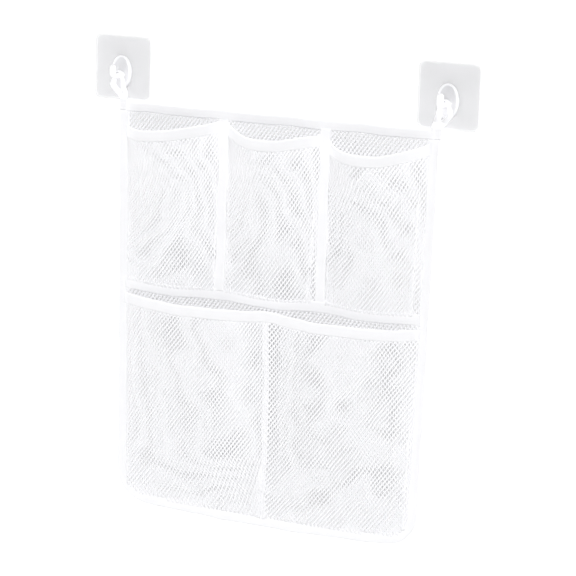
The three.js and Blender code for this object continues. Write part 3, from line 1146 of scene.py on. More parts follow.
@dataclass
class BackPanel:
    """The flat net that everything else is sewn on."""

    bag: BagShape
    tucked: float = 2.0
    slack: float = 0.5
    ripple_across: float = 23.0
    ripple_down: float = 31.0
    slant: float = 24.0
    thread_width: float = 1.45

    def build(self, finishes: Finishes) -> None:
        """Makes the panel.

        Args:
            finishes: The materials.
        """
        bag = self.bag
        inset = bag.binding - self.tucked
        half = bag.half_width(0.0) - inset
        length = bag.height - 2 * inset

        def place(across: Array, down: Array) -> Array:
            """Returns points of the panel, which ripples a little.

            Args:
                across: The share across the panel.
                down: The share down the panel.

            Returns:
                The points.
            """
            x = mix(-half, half, across)
            depth = inset + length * down
            ripple = np.sin(x / self.ripple_across) * np.sin(depth / self.ripple_down) * self.slack
            return bag.point(x, depth, bag.hang_out + ripple + bag.drawn(x, depth))

        cloth = (2 * half, length)
        knit = NetKnit(slant=self.slant, thread_width=self.thread_width, pull=0.0)
        draft = knit.knit("back_net", place, partial(bag.inside, inset=inset), cloth)
        hang_net(draft, finishes, "back_mesh_panel", cloth)


@dataclass
class Bindings:
    """The folded tapes round the bag's edge."""

    bag: BagShape
    seam: float = 1.7
    steps: int = 120

    def build(self, finishes: Finishes) -> None:
        """Makes the top and perimeter bindings.

        Args:
            finishes: The materials.
        """
        bag = self.bag
        seams = [bag.binding - self.seam]
        xs = np.linspace(-bag.top_width / 2, bag.top_width / 2, self.steps)
        top = SewingLine.flat(bag.point(xs, np.zeros(self.steps), bag.hang_out), DOWNWARD, FRONT)
        thick = bag.binding_thickness
        Tape("top_binding_tape", "top_binding", top, bag.binding, thick, seams).build(finishes)
        points, inward = bag.outline()
        edge = bag.point(points[:, 0], points[:, 1], bag.hang_out)
        ways = np.stack([inward[:, 0], np.zeros(len(inward)), -inward[:, 1]], axis=1)
        rim = SewingLine.flat(edge, ways, FRONT)
        Tape("perimeter_binding_tape", "perimeter_binding", rim, bag.binding, thick, seams).build(finishes)


@dataclass
class Pleat:
    """A fold that takes up spare net at one side: its depth at the foot, its gap to the seam, its start."""

    depth: float
    gap: float
    start: float

    def opened(self, down: Array) -> Array:
        """Returns how far the fold has opened, from 0 to 1."""
        return ease((down - self.start) / (1 - self.start))


@dataclass
class SlackPanel:
    """A pocket front: a slack net panel between two sewn sides, with a pleat at each."""

    left_pleat: Pleat
    right_pleat: Pleat
    fold_share: float = 0.12
    fold_turn: float = 0.6
    layer: float = 0.9
    fade: float = 9.0

    def layout(self, across: Array, down: Array, width: Array) -> tuple[Array, Array]:
        """Lays the cloth across the pocket.

        Args:
            across: The share across the cloth.
            down: The share down the panel.
            width: The pocket's width between its seams.

        Returns:
            The distance from the left seam, and how far the cloth's layers lift it.
        """
        left = self.left_pleat.opened(down)
        right = self.right_pleat.opened(down)
        deep_left = self.left_pleat.depth * left
        deep_right = self.right_pleat.depth * right
        gap_left = self.left_pleat.gap
        gap_right = self.right_pleat.gap
        fold = self.fold_share
        turn = self.fold_turn * fold
        stops = np.array([0.0, turn, fold, 1 - fold, 1 - turn, 1.0])
        marks = [
            0.0,
            gap_left + deep_left,
            gap_left,
            width - gap_right,
            width - gap_right - deep_right,
            width,
        ]
        rises = [0.0, 0.0, self.layer * left, self.layer * right, 0.0, 0.0]
        place = np.zeros_like(across)
        lift = np.zeros_like(across)
        for k in range(len(stops) - 1):
            here = (across >= stops[k]) & (across <= stops[k + 1])
            share = (across - stops[k]) / (stops[k + 1] - stops[k])
            place = np.where(here, mix(marks[k], marks[k + 1], share), place)
            lift = np.where(here, mix(rises[k], rises[k + 1], share), lift)
        front = (across >= fold) & (across <= 1 - fold)
        over_left = 1 - ease((place - gap_left - deep_left) / self.fade)
        over_right = 1 - ease((width - place - gap_right - deep_right) / self.fade)
        cover = 2 * self.layer * (left * over_left + right * over_right)
        return place, np.where(front, np.maximum(lift, cover), lift)


@dataclass
class UpperPockets:
    """The three upper pockets with their mouth bindings, the dividers and the tape along their feet."""

    bag: BagShape
    divider_spacing: float = 104.0
    divider_width: float = 10.0
    mouth_height: float = 10.4
    mouth_thickness: float = 2.0
    tape_thickness: float = 1.2
    foot_down: float = 165.5
    foot_sag: float = 2.6
    foot_height: float = 10.4
    foot_bulge: float = 2.0
    tucked: float = 2.5
    divider_seam: float = 1.5
    foot_seam: float = 1.6
    mouth_seam: float = 1.7
    mouth_tuck: float = 5.0
    tape_edge: float = 0.6
    divider_lift: float = 0.4
    foot_lift: float = 0.6
    overlap: float = 2.0
    under_edge: float = 1.5
    divider_steps: int = 60
    foot_steps: int = 160

    def foot_top(self, x: Array) -> Array:
        """Returns the upper edge of the tape along the feet, which sags in the middle of each pocket."""
        return self.foot_down + self.foot_sag * (1 + np.cos(math.tau * x / self.divider_spacing)) / 2

    def build(self, finishes: Finishes) -> None:
        """Makes the pockets and their tapes.

        Args:
            finishes: The materials.
        """
        near = self.divider_spacing / 2
        left = Pocket(
            "upper_left", left_divider=None, right_divider=-near, left_drop=12.8, right_drop=1.2, sag=5.0,
            bulge=25.0, left_pleat=Pleat(13.0, 0.4, 0.35), right_pleat=Pleat(3.0, 0.5, 0.5),
        )
        middle = Pocket(
            "upper_middle", left_divider=-near, right_divider=near, left_drop=2.0, right_drop=4.5, sag=8.0,
            bulge=25.0, left_pleat=Pleat(8.0, 0.5, 0.3), right_pleat=Pleat(6.0, 3.5, 0.3),
        )
        right = Pocket(
            "upper_right", left_divider=near, right_divider=None, left_drop=9.0, right_drop=4.0, sag=10.0,
            bulge=26.0, left_pleat=Pleat(3.0, 0.5, 0.4), right_pleat=Pleat(5.0, 6.0, 0.1),
        )
        for pocket in (left, middle, right):
            pocket.build(self, finishes)
        self._dividers(finishes)
        self._foot_tape(finishes)

    def _dividers(self, finishes: Finishes) -> None:
        """Makes the tapes between the pockets.

        Args:
            finishes: The materials.
        """
        bag = self.bag
        for side in Side:
            x = side.value * self.divider_spacing / 2 - self.divider_width / 2
            head, foot = bag.binding - self.overlap / 2, self.foot_down + self.overlap
            downs = np.linspace(head, foot, self.divider_steps)
            points = bag.point(np.full(self.divider_steps, x), downs, bag.pocket_out + self.divider_lift)
            line = SewingLine.flat(points, RIGHTWARD, FRONT)
            name = f"{side.word}_divider_tape"
            seams = [self.divider_seam, self.divider_width - self.divider_seam]
            Tape(
                f"{name}_woven", name, line, self.divider_width, self.tape_thickness, seams,
                sewn_behind=False, edge_round=self.tape_edge,
            ).build(finishes)

    def _foot_tape(self, finishes: Finishes) -> None:
        """Makes the tape that closes the feet of the pockets.

        Args:
            finishes: The materials.
        """
        bag = self.bag
        reach = float(bag.reach(np.array([self.foot_down]), bag.binding - self.under_edge)[0])
        xs = np.linspace(-reach, reach, self.foot_steps)
        points = bag.point(xs, self.foot_top(xs), bag.pocket_out + self.foot_lift)
        line = SewingLine.flat(points, DOWNWARD, FRONT)
        seams = [self.foot_seam, self.foot_height - self.foot_seam]
        Tape(
            "upper_foot_tape_woven", "upper_pocket_base_tape", line, self.foot_height, self.tape_thickness,
            seams, sewn_behind=False, edge_round=self.tape_edge,
        ).build(finishes)


@dataclass
class Pocket:
    """One upper pocket. Its ends are dividers' places, or nothing where it runs to the bag's side."""

    name: str
    left_divider: float | None
    right_divider: float | None
    left_drop: float
    right_drop: float
    sag: float
    bulge: float
    left_pleat: Pleat
    right_pleat: Pleat
    mouth_share: float = 0.3
    mouth_steps: int = 120

    def sides(self, row: UpperPockets, down: Array) -> tuple[Array, Array]:
        """Returns the places of the pocket's left and right seams.

        Args:
            row: The upper row that the pocket belongs to.
            down: The places down the bag.

        Returns:
            The two seams' places across the bag.
        """
        bag = row.bag
        edge = bag.reach(down, bag.binding + bag.fit)
        half = row.divider_width / 2 + bag.fit
        left = -edge if self.left_divider is None else np.full_like(down, self.left_divider + half)
        right = edge if self.right_divider is None else np.full_like(down, self.right_divider - half)
        return left, right

    def mouth_down(self, row: UpperPockets, share: Array) -> Array:
        """Returns the upper edge of the mouth."""
        level = row.bag.binding + mix(self.left_drop, self.right_drop, share)
        return level + self.sag * np.sin(math.pi * share)

    def place(self, row: UpperPockets, across: Array, down: Array) -> Array:
        """Returns points of the pocket's net from shares across and down its cloth.

        Args:
            row: The upper row that the pocket belongs to.
            across: The share across the cloth.
            down: The share down the cloth.

        Returns:
            The points.
        """
        bag = row.bag
        panel = SlackPanel(self.left_pleat, self.right_pleat)
        left, right = self.sides(row, np.full_like(across, row.foot_down))
        spot, lift = panel.layout(across, down, right - left)
        share = spot / (right - left)
        top = self.mouth_down(row, share) + row.mouth_height
        depth = mix(top - row.tucked, row.foot_top(left + spot) + row.tucked, down)
        left, right = self.sides(row, depth)
        x = mix(left, right, share)
        hang = (depth - top) / (row.foot_top(x) - top)
        fullness = mix(stands_across(share), stands_gently(share), ease(hang / self.mouth_share))
        stand = fullness * mix(row.foot_bulge, self.bulge, falls_back(hang))
        return bag.point(x, depth, bag.pocket_out + stand + lift)

    def build(self, row: UpperPockets, finishes: Finishes) -> None:
        """Makes the pocket's net and its mouth binding.

        Args:
            row: The upper row that the pocket belongs to.
            finishes: The materials.
        """
        left, right = self.sides(row, np.array([row.foot_down]))
        spare = 2 * (self.left_pleat.depth + self.right_pleat.depth)
        width = float(right[0] - left[0]) + spare
        top = row.bag.binding + self.sag + (self.left_drop + self.right_drop) / 2 + row.mouth_height
        cloth = (width, row.foot_down - top + 2 * row.tucked)

        draft = NetKnit().knit(f"{self.name}_net", partial(self.place, row), self._everywhere, cloth)
        panel, mouth = f"{self.name}_pocket_panel", f"{self.name}_mouth_tape"
        hang_net(draft, finishes, panel, cloth)
        self._mouth(row, finishes)

    @staticmethod
    def _everywhere(points: Array) -> Array:
        """Returns that every point belongs to the panel."""
        return np.ones(points.shape[:-1], bool)

    def _mouth(self, row: UpperPockets, finishes: Finishes) -> None:
        """Makes the folded tape along the pocket's mouth, tucked under the tapes beside it.

        Args:
            row: The upper row that the pocket belongs to.
            finishes: The materials.
        """
        bag = row.bag
        share = (1 - np.cos(np.linspace(0, math.pi, self.mouth_steps))) / 2
        depth = self.mouth_down(row, share)
        left, right = self.sides(row, depth)
        out = bag.pocket_out + stands_across(share) * self.bulge
        points = bag.point(mix(left, right, share), depth, out)
        first = points[:1] - [row.tucked, 0, 0]
        last = points[-1:] + [row.tucked, 0, 0]
        line = SewingLine.hanging(np.concatenate([first, points, last]))
        Tape(
            f"{self.name}_mouth_tape", f"{self.name}_mouth_binding", line, row.mouth_height,
            row.mouth_thickness, [row.mouth_height - row.mouth_seam], tuck=row.mouth_tuck,
        ).build(finishes)


@dataclass
class LowerPockets:
    """The two lower pockets, their common mouth binding and the seam between them."""

    bag: BagShape
    mouth_down: float = 179.9
    mouth_sag: float = 3.0
    mouth_height: float = 10.4
    mouth_thickness: float = 2.0
    mouth_bulge: float = 13.0
    bulge: float = 13.0
    seam_width: float = 6.0
    seam_thickness: float = 1.2
    seam_edge: float = 0.4
    over_seam: float = 1.6
    cover_fade: float = 5.0
    valley: float = 0.36
    tucked: float = 2.5
    mouth_seam: float = 1.7
    mouth_tuck: float = 4.0
    mouth_lift: float = 0.3
    mouth_steps: int = 240
    seam_inset: float = 1.4
    seam_overlap: float = 1.5
    seam_lift: float = 0.4
    seam_round: float = 0.6
    seam_steps: int = 80
    edge_hold: int = 5
    roundness: float = 0.75

    def mouth_edge(self, share: Array) -> Array:
        """Returns the upper edge of a pocket's mouth."""
        return self.mouth_down + self.mouth_sag * np.sin(math.pi * np.clip(share, 0, 1))

    def share_across(self, side: Side, x: Array, down: Array) -> Array:
        """Returns the share across a pocket, from its left to its right.

        Args:
            side: The pocket's side.
            x: The places across the bag.
            down: The places down the bag.

        Returns:
            The shares.
        """
        edge = self.bag.reach(down, self.bag.binding + self.bag.fit)
        from_seam = (np.abs(x) - self.seam_edge) / (edge - self.seam_edge)
        return np.clip(1 - from_seam if side is Side.LEFT else from_seam, 0, 1)

    def full(self, side: Side, share: Array) -> tuple[Array, Array]:
        """Returns how far the valley at the seam has filled, and how fully the net stands beside it.

        Args:
            side: The pocket's side.
            share: The share across the pocket.

        Returns:
            The filling and the fullness, both from 0 to 1.
        """
        from_seam = 1 - share if side is Side.LEFT else share
        fullness = np.maximum(0.0, 1 - from_seam**self.edge_hold) ** self.roundness
        return ease(from_seam / self.valley), fullness

    def stand(self, side: Side, x: Array, down: Array) -> Array:
        """Returns how far a pocket's net stands out.

        Args:
            side: The pocket's side.
            x: The places across the bag.
            down: The places down the bag.

        Returns:
            The distances out from the sewn edges.
        """
        bag = self.bag
        share = self.share_across(side, x, down)
        top = self.mouth_edge(share) + self.mouth_height
        hang = np.clip((down - top) / (bag.floor(x, bag.binding + bag.fit) - top), 0, 1)
        belly = mix(self.mouth_bulge, self.bulge, np.sin(math.pi * np.minimum(hang, 0.5)))
        filled, fullness = self.full(side, share)
        cover = self.over_seam * (1 - ease((np.abs(x) - self.seam_width / 2) / self.cover_fade))
        return mix(bag.drawn(x, down) + cover, belly * stands_down(hang) * fullness, filled)

    def build(self, finishes: Finishes) -> None:
        """Makes the pockets, their mouth binding and the seam.

        Args:
            finishes: The materials.
        """
        self._net(Side.LEFT, Pleat(4.0, 1.0, 0.55), Pleat(13.0, 0.6, 0.66), finishes)
        self._net(Side.RIGHT, Pleat(3.0, 1.0, 0.7), Pleat(5.0, 2.0, 0.3), finishes)
        self._mouth(finishes)
        self._seam(finishes)

    def _net(self, side: Side, left_pleat: Pleat, right_pleat: Pleat, finishes: Finishes) -> None:
        """Makes one pocket's net.

        Args:
            side: The pocket's side.
            left_pleat: The fold at its left.
            right_pleat: The fold at its right.
            finishes: The materials.
        """
        bag = self.bag
        inset = bag.binding - self.tucked
        panel = SlackPanel(left_pleat, right_pleat)
        top = self.mouth_down + self.mouth_height - self.tucked
        foot = bag.height - inset

        def place(across: Array, down: Array) -> Array:
            """Returns points of the net from shares across and down its cloth.

            Args:
                across: The share across the cloth.
                down: The share down the cloth.

            Returns:
                The points.
            """
            depth = mix(top, foot, down)
            outer = bag.half_width(depth) - bag.binding - bag.fit
            spot, lift = panel.layout(across, down, outer - self.seam_edge)
            start = -outer if side is Side.LEFT else self.seam_edge
            x = start + spot
            sag = self.mouth_edge(self.share_across(side, x, depth)) - self.mouth_down
            depth = depth + sag * (1 - down)
            return bag.point(x, depth, bag.pocket_out + self.stand(side, x, depth) + lift)

        width = bag.half_width(self.mouth_down) - bag.binding - self.seam_edge
        cloth = (width + left_pleat.depth + right_pleat.depth, foot - top)
        name = f"lower_{side.word}"
        draft = NetKnit().knit(f"{name}_net", place, partial(bag.inside, inset=inset), cloth)
        hang_net(draft, finishes, f"{name}_pocket_panel", cloth)

    def _mouth(self, finishes: Finishes) -> None:
        """Makes the folded tape along both mouths.

        Args:
            finishes: The materials.
        """
        bag = self.bag
        edge = float(bag.reach(np.array([self.mouth_down]), bag.binding - self.tucked)[0])
        xs = np.linspace(-edge, edge, self.mouth_steps)
        left = xs < 0
        level = np.full(self.mouth_steps, self.mouth_down)
        shares = [self.share_across(side, xs, level) for side in Side]
        stands = []
        for side, share in zip(Side, shares):
            filled, fullness = self.full(side, share)
            stands.append(mix(bag.draw + self.over_seam, self.mouth_bulge * fullness, filled))
        depth = np.where(left, *map(self.mouth_edge, shares))
        points = bag.point(xs, depth, bag.pocket_out + self.mouth_lift + np.where(left, *stands))
        line = SewingLine.hanging(points)
        Tape(
            "lower_mouth_tape", "lower_mouth_binding", line, self.mouth_height, self.mouth_thickness,
            [self.mouth_height - self.mouth_seam], tuck=self.mouth_tuck,
        ).build(finishes)

    def _seam(self, finishes: Finishes) -> None:
        """Makes the tape along the seam between the pockets.

        Args:
            finishes: The materials.
        """
        bag = self.bag
        foot = float(bag.floor(np.zeros(1), bag.binding - self.seam_overlap)[0])
        head = self.mouth_down + self.mouth_height - self.seam_overlap
        downs = np.linspace(head, foot, self.seam_steps)
        out = bag.pocket_out + self.seam_lift + bag.drawn(np.zeros(self.seam_steps), downs)
        points = bag.point(np.full(self.seam_steps, -self.seam_width / 2), downs, out)
        line = SewingLine.flat(points, RIGHTWARD, FRONT)
        seams = [self.seam_inset, self.seam_width - self.seam_inset]
        # The seam tape lies under the pockets' net, and its white is painted darker there as the net's
        # shade.
        Tape(
            "centre_seam_tape_woven", "centre_seam_tape", line, self.seam_width, self.seam_thickness, seams,
            sewn_behind=False, covered=True, edge_round=self.seam_round,
        ).build(finishes)


@dataclass
class HangingLoop:
    """A strip of tape over a hook's arm, with its ends side by side on a corner of the bag."""

    side: Side
    bag: BagShape
    tape_width: float = 6.0
    tape_thickness: float = 1.2
    fit: float = 0.3
    arm_radius: float = 3.0
    arm_z: float = -7.0
    open_drop: float = 8.0
    open_width: float = 10.8
    tail: float = 2.4
    left_spread: float = 1.1
    right_spread: float = 2.4
    left_inset: float = 4.5
    right_inset: float = 2.8
    left_turns: tuple[float, float] = (0.33, 0.15)
    right_turns: tuple[float, float] = (0.4, 0.4)
    lap: float = 8.0
    lap_steps: int = 12
    lay: float = 0.1
    crossing: float = 1.1
    lift_off: float = 2.2
    bend_reach: float = 2.0
    edge_square: float = 0.35
    face_round: float = 0.6
    section_points: int = 24
    tack_pitch: float = 2.2
    tack_length: float = 1.8
    tack_top: float = 1.8
    tack_foot: float = 1.6
    tack_edge: float = 0.6
    tack_lift: float = 0.15
    tack_steps: int = 20
    steps: int = 40

    @property
    def spread(self) -> float:
        """How far each end lies from the middle of the pair, which overlaps more on the left."""
        return self.left_spread if self.side is Side.LEFT else self.right_spread

    @property
    def inset(self) -> float:
        """How far the middle of the ends lies inside the bag's corner."""
        return self.left_inset if self.side is Side.LEFT else self.right_inset

    def open_turn(self, hand: int) -> float:
        """Returns how flat a strand faces the front below the arm, from 0 edge on to 1 flat.

        Args:
            hand: The strand, -1 for the left one and 1 for the right one.

        Returns:
            Its flatness.
        """
        turns = self.left_turns if self.side is Side.LEFT else self.right_turns
        return turns[0] if hand < 0 else turns[1]

    @property
    def hook_x(self) -> float:
        """The place of the hook's arm."""
        low, high = node_box(f"{self.side.word}_hook")
        return float(low[0] + high[0]) / 2

    @property
    def over(self) -> float:
        """The distance of the tape's middle from the arm's middle, where it lies on the arm."""
        return self.arm_radius + self.fit + self.tape_thickness / 2

    @property
    def tail_x(self) -> float:
        """The place of the loop's ends on the bag."""
        return self.side.value * (self.bag.top_width / 2 - self.inset)

    def strand(self, hand: int) -> Array:
        """Returns one strand from its end on the bag up to the arm: x, out, z and its turn.

        Args:
            hand: The strand, -1 for the left one and 1 for the right one.

        Returns:
            The strand's stations.
        """
        bag = self.bag
        overlap = np.linspace(0, 1, self.lap_steps)
        end_x = self.tail_x + hand * self.spread
        front = bag.hang_out + bag.binding_thickness / 2 + self.tape_thickness / 2 + self.lay
        front += self.tape_thickness * self.crossing if hand > 0 else 0.0
        seat = bag.top_z + self.fit + self.tail
        lapped = np.stack([
            np.full(self.lap_steps, end_x),
            np.full(self.lap_steps, front),
            mix(bag.top_z - self.lap, bag.top_z, overlap),
            np.ones(self.lap_steps),
        ], axis=1)
        rise = np.linspace(0, 1, self.steps)
        spread_z = self.arm_z - self.open_drop
        eased = ease(rise)
        climbing = np.stack([
            mix(end_x, self.hook_x + hand * self.open_width / 2, eased),
            mix(front, bag.hang_out, ease(rise * self.lift_off)),
            mix(seat - self.tail / 2, spread_z, rise),
            mix(1.0, self.open_turn(hand), eased),
        ], axis=1)
        closing = np.stack([
            self.hook_x + hand * mix(self.open_width / 2, self.over, eased),
            np.full(self.steps, bag.hang_out),
            mix(spread_z, self.arm_z, rise),
            mix(self.open_turn(hand), 0.0, eased),
        ], axis=1)
        return np.concatenate([lapped, climbing, closing[1:-1]])

    def build(self, finishes: Finishes) -> None:
        """Makes the loop and the stitches of its ends.

        Args:
            finishes: The materials.
        """
        turns = np.linspace(math.pi, 0, self.steps)
        crown = np.stack([
            self.hook_x + self.over * np.cos(turns),
            np.full(self.steps, self.bag.hang_out),
            self.arm_z + self.over * np.sin(turns),
            np.zeros(self.steps),
        ], axis=1)
        route = np.concatenate([self.strand(-1), crown, self.strand(1)[::-1]])
        points = np.stack([route[:, 0], -route[:, 1], route[:, 2]], axis=1)
        ways = unit(np.gradient(points, axis=0))
        turn = route[:, 3] * math.pi / 2
        across = np.stack([np.sin(turn), np.cos(turn), np.zeros(len(turn))], axis=1)
        across = unit(across - ways * np.sum(across * ways, axis=1, keepdims=True))
        facing = np.cross(ways, across)
        section = self._section()
        rings = (
            points[:, None]
            + across[:, None] * section[None, :, :1]
            + facing[:, None] * section[None, :, 1:]
        )
        draft = MeshDraft(f"{self.side.word}_loop_tape")
        draft.sweep(rings, lengths_along(points), section[:, 0])
        loop = draft.build(finishes.tape)
        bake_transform(loop)
        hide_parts(f"{self.side.word}_hanging_loop")
        LOG.info("%s: %d faces across the bend", loop.name, len(loop.data.polygons))
        self._tacks(finishes)

    def _section(self) -> Array:
        """Returns the tape's section, across and through it.

        Returns:
            The section's points.
        """
        turns = np.linspace(0, math.tau, self.section_points, endpoint=False)
        wide = np.sign(np.cos(turns)) * np.abs(np.cos(turns)) ** self.edge_square
        thick = np.sign(np.sin(turns)) * np.abs(np.sin(turns)) ** self.face_round
        return np.stack([wide * self.tape_width / 2, thick * self.tape_thickness / 2], axis=1)

    def _tacks(self, finishes: Finishes) -> None:
        """Makes the stitches that hold the loop's ends on the bag.

        Args:
            finishes: The materials.
        """
        bag = self.bag
        draft = MeshDraft(f"{self.side.word}_loop_stitching")
        front = bag.hang_out + bag.binding_thickness / 2 + self.tack_lift
        front += (1 + self.crossing) * self.tape_thickness
        reach = self.tape_width / 2 + self.spread - self.tack_edge
        row = StitchRow(pitch=self.tack_pitch, length=self.tack_length)
        for down in (self.tack_top, self.lap - self.tack_foot):
            xs = self.tail_x + np.linspace(-reach, reach, self.tack_steps)
            points = bag.point(xs, np.full(self.tack_steps, down), front)
            line = SewingLine.flat(points, DOWNWARD, FRONT)
            row.sew(draft, line, 0.0, 0.0)
        settle(draft.build(finishes.stitch), Body.BAG)


def rounded_square(half: float, corner: float, steps: int = 12) -> Array:
    """Returns the outline of a square with round corners, across and up.

    Args:
        half: Half the square's width.
        corner: The corners' radius.
        steps: The number of points in each corner.

    Returns:
        The points.
    """
    turns = np.linspace(0, math.pi / 2, steps)
    inner = half - corner
    parts = []
    for quarter, (across, up) in enumerate([(1, 1), (-1, 1), (-1, -1), (1, -1)]):
        angle = turns + quarter * math.pi / 2
        right = across * inner + corner * np.cos(angle)
        above = up * inner + corner * np.sin(angle)
        parts.append(np.stack([right, above], axis=1))
    return np.concatenate(parts)


@dataclass
class WallHook:
    """A clear square pad with its adhesive, and the clear hook moulded on it."""

    side: Side
    pad_corner: float = 6.0
    edge_round: float = 0.5
    rim_width: float = 1.8
    rim_rise: float = 1.0
    base_thickness: float = 2.0
    arm_radius: float = 3.0
    arm_straight: float = 10.6
    arm_bend: float = 4.5
    tip_rise: float = 3.5
    arm_z: float = -7.0
    root_flare: float = 1.4
    root_sunk: float = 1.0
    root_reach: float = 3.0
    arm_white: float = 0.85
    least_edge: float = 0.05
    edge_steps: int = 5
    oval_steps: int = 72
    arm_sides: int = 28
    root_steps: int = 9
    bend_steps: int = 14
    tip_steps: int = 9

    def _sheet(self, name: str, node: str, material: bpy.types.Material) -> None:
        """Makes a clear sheet with softly rounded edges in place of a packed one.

        Args:
            name: The piece's name.
            node: The solid that it replaces.
            material: Its material.
        """
        low, high = node_box(node)
        middle = (low + high) / 2
        half = (high[0] - low[0]) / 2
        back, front = -high[1], -low[1]
        soft = min(self.edge_round, (front - back) / 2 - self.least_edge)
        turns = np.linspace(0, math.pi / 2, self.edge_steps)
        rounding = [(soft * (1 - math.sin(a)), soft * (1 - math.cos(a))) for a in turns]
        profile = [(inset, back + rise) for inset, rise in rounding]
        profile += [(inset, front - rise) for inset, rise in reversed(rounding)]
        rings = []
        for inset, out in profile:
            flat = rounded_square(half - inset, self.pad_corner - inset)
            depth = np.full(len(flat), -out)
            rings.append(np.stack([middle[0] + flat[:, 0], depth, middle[2] + flat[:, 1]], axis=1))
        draft = MeshDraft(name)
        draft.sweep(np.array(rings), np.zeros(len(rings)), np.linspace(0, 1, len(rings[0])))
        settle(draft.build(material), Body.HOOKS, [node])

    def _oval(self, draft: MeshDraft, low: Array, high: Array, back: float) -> None:
        """Adds the oval base with its raised, rounded rim.

        Args:
            draft: The draft that takes the base.
            low: The hook's lowest corner.
            high: The hook's highest corner.
            back: The distance of the base's back.
        """
        centre_x = (low[0] + high[0]) / 2
        centre_z = (low[2] + high[2]) / 2
        half_w = (high[0] - low[0]) / 2
        half_h = (high[2] - low[2]) / 2
        front = back + self.base_thickness
        rim = front + self.rim_rise
        inner = self.rim_width
        # Each step gives the distance in from the edge, the distance out and how white the plastic is
        # painted there: thick plastic, and a painted highlight along the raised rim.
        profile = [
            (0.4, back, 0.0), (0.08, back + 0.15, 0.2), (0.0, back + 0.5, 0.5), (0.0, rim - 0.8, 0.9),
            (0.12, rim - 0.35, 1.0), (0.45, rim - 0.06, 1.0), (0.9, rim, 1.0), (1.35, rim - 0.08, 1.0),
            (inner - 0.12, rim - 0.4, 0.9), (inner, front + 0.25, 0.4), (inner + 0.3, front + 0.04, 0.1),
            (inner + 1.2, front, 0.0), (inner + 3.0, front, 0.0),
        ]
        turns = np.linspace(0, math.tau, self.oval_steps, endpoint=False)
        rings = [
            np.stack([
                centre_x + (half_w - inset) * np.cos(turns),
                np.full(self.oval_steps, -out),
                centre_z + (half_h - inset) * np.sin(turns),
            ], axis=1)
            for inset, out, _ in profile
        ]
        # The height round the oval goes across the cloth, so the painted rim highlight fades to painted
        # shade at the bottom.
        draft.sweep(np.array(rings), np.array([thickness for *_, thickness in profile]), np.sin(turns))

    def _arm(self, draft: MeshDraft, x: float, root: float) -> None:
        """Adds the round arm, flared at its root, turned up and rounded at its tip.

        Args:
            draft: The draft that takes the arm.
            x: The arm's place across.
            root: The distance of its root.
        """
        bend_out = root + self.arm_straight
        tip_out = bend_out + self.arm_bend
        stations: list[tuple[float, float, float, float]] = []
        for share in np.linspace(0, 1, self.root_steps):
            out = mix(root - self.root_sunk, root + self.root_reach, share)
            stations.append((out, 0.0, 0.0, self.arm_radius + self.root_flare * (1 - share) ** 3))
        for angle in np.linspace(0, math.pi / 2, self.bend_steps):
            out = bend_out + self.arm_bend * math.sin(angle)
            stations.append((out, self.arm_bend * (1 - math.cos(angle)), angle, self.arm_radius))
        for angle in np.linspace(0, math.pi / 2, self.tip_steps)[:-1]:
            rise = self.arm_bend + self.tip_rise + self.arm_radius * math.sin(angle)
            stations.append((tip_out, rise, math.pi / 2, self.arm_radius * math.cos(angle)))
        turns = np.linspace(0, math.tau, self.arm_sides, endpoint=False)
        rings = []
        for out, rise, tilt, radius in stations:
            lift = radius * np.sin(turns)
            rings.append(np.stack([
                x + radius * np.cos(turns),
                -(out - lift * math.sin(tilt)),
                self.arm_z + rise + lift * math.cos(tilt),
            ], axis=1))
        draft.sweep(np.array(rings), np.full(len(rings), self.arm_white), np.ones(len(turns)))

    def build(self, finishes: Finishes) -> None:
        """Makes the adhesive, the pad and the hook.

        Args:
            finishes: The materials.
        """
        word = self.side.word
        self._sheet(f"{word}_adhesive_sheet", f"{word}_adhesive_layer", finishes.adhesive)
        self._sheet(f"{word}_pad_sheet", f"{word}_pad_plate", finishes.pad)
        low, high = node_box(f"{word}_hook")
        back = -high[1]
        oval = MeshDraft(f"{word}_hook_moulding")
        self._oval(oval, low, high, back)
        base = oval.build(finishes.hook)
        arm = MeshDraft(f"{word}_hook_arm")
        self._arm(arm, float(low[0] + high[0]) / 2, back + self.base_thickness)
        self._fuse(base, arm.build(finishes.hook))
        settle(base, Body.HOOKS, [f"{word}_hook"])

    @staticmethod
    def _fuse(base: bpy.types.Object, arm: bpy.types.Object) -> None:
        """Joins the arm to the base as one moulding.

        Args:
            base: The base, which becomes the moulding.
            arm: The arm, which is used up.
        """
        union = base.modifiers.new("arm", "BOOLEAN")
        union.operation = "UNION"
        union.solver = "EXACT"
        union.object = arm
        shown = base.evaluated_get(bpy.context.evaluated_depsgraph_get())
        fused = bpy.data.meshes.new_from_object(shown)
        base.modifiers.clear()
        base.data = fused
        bpy.data.objects.remove(arm)


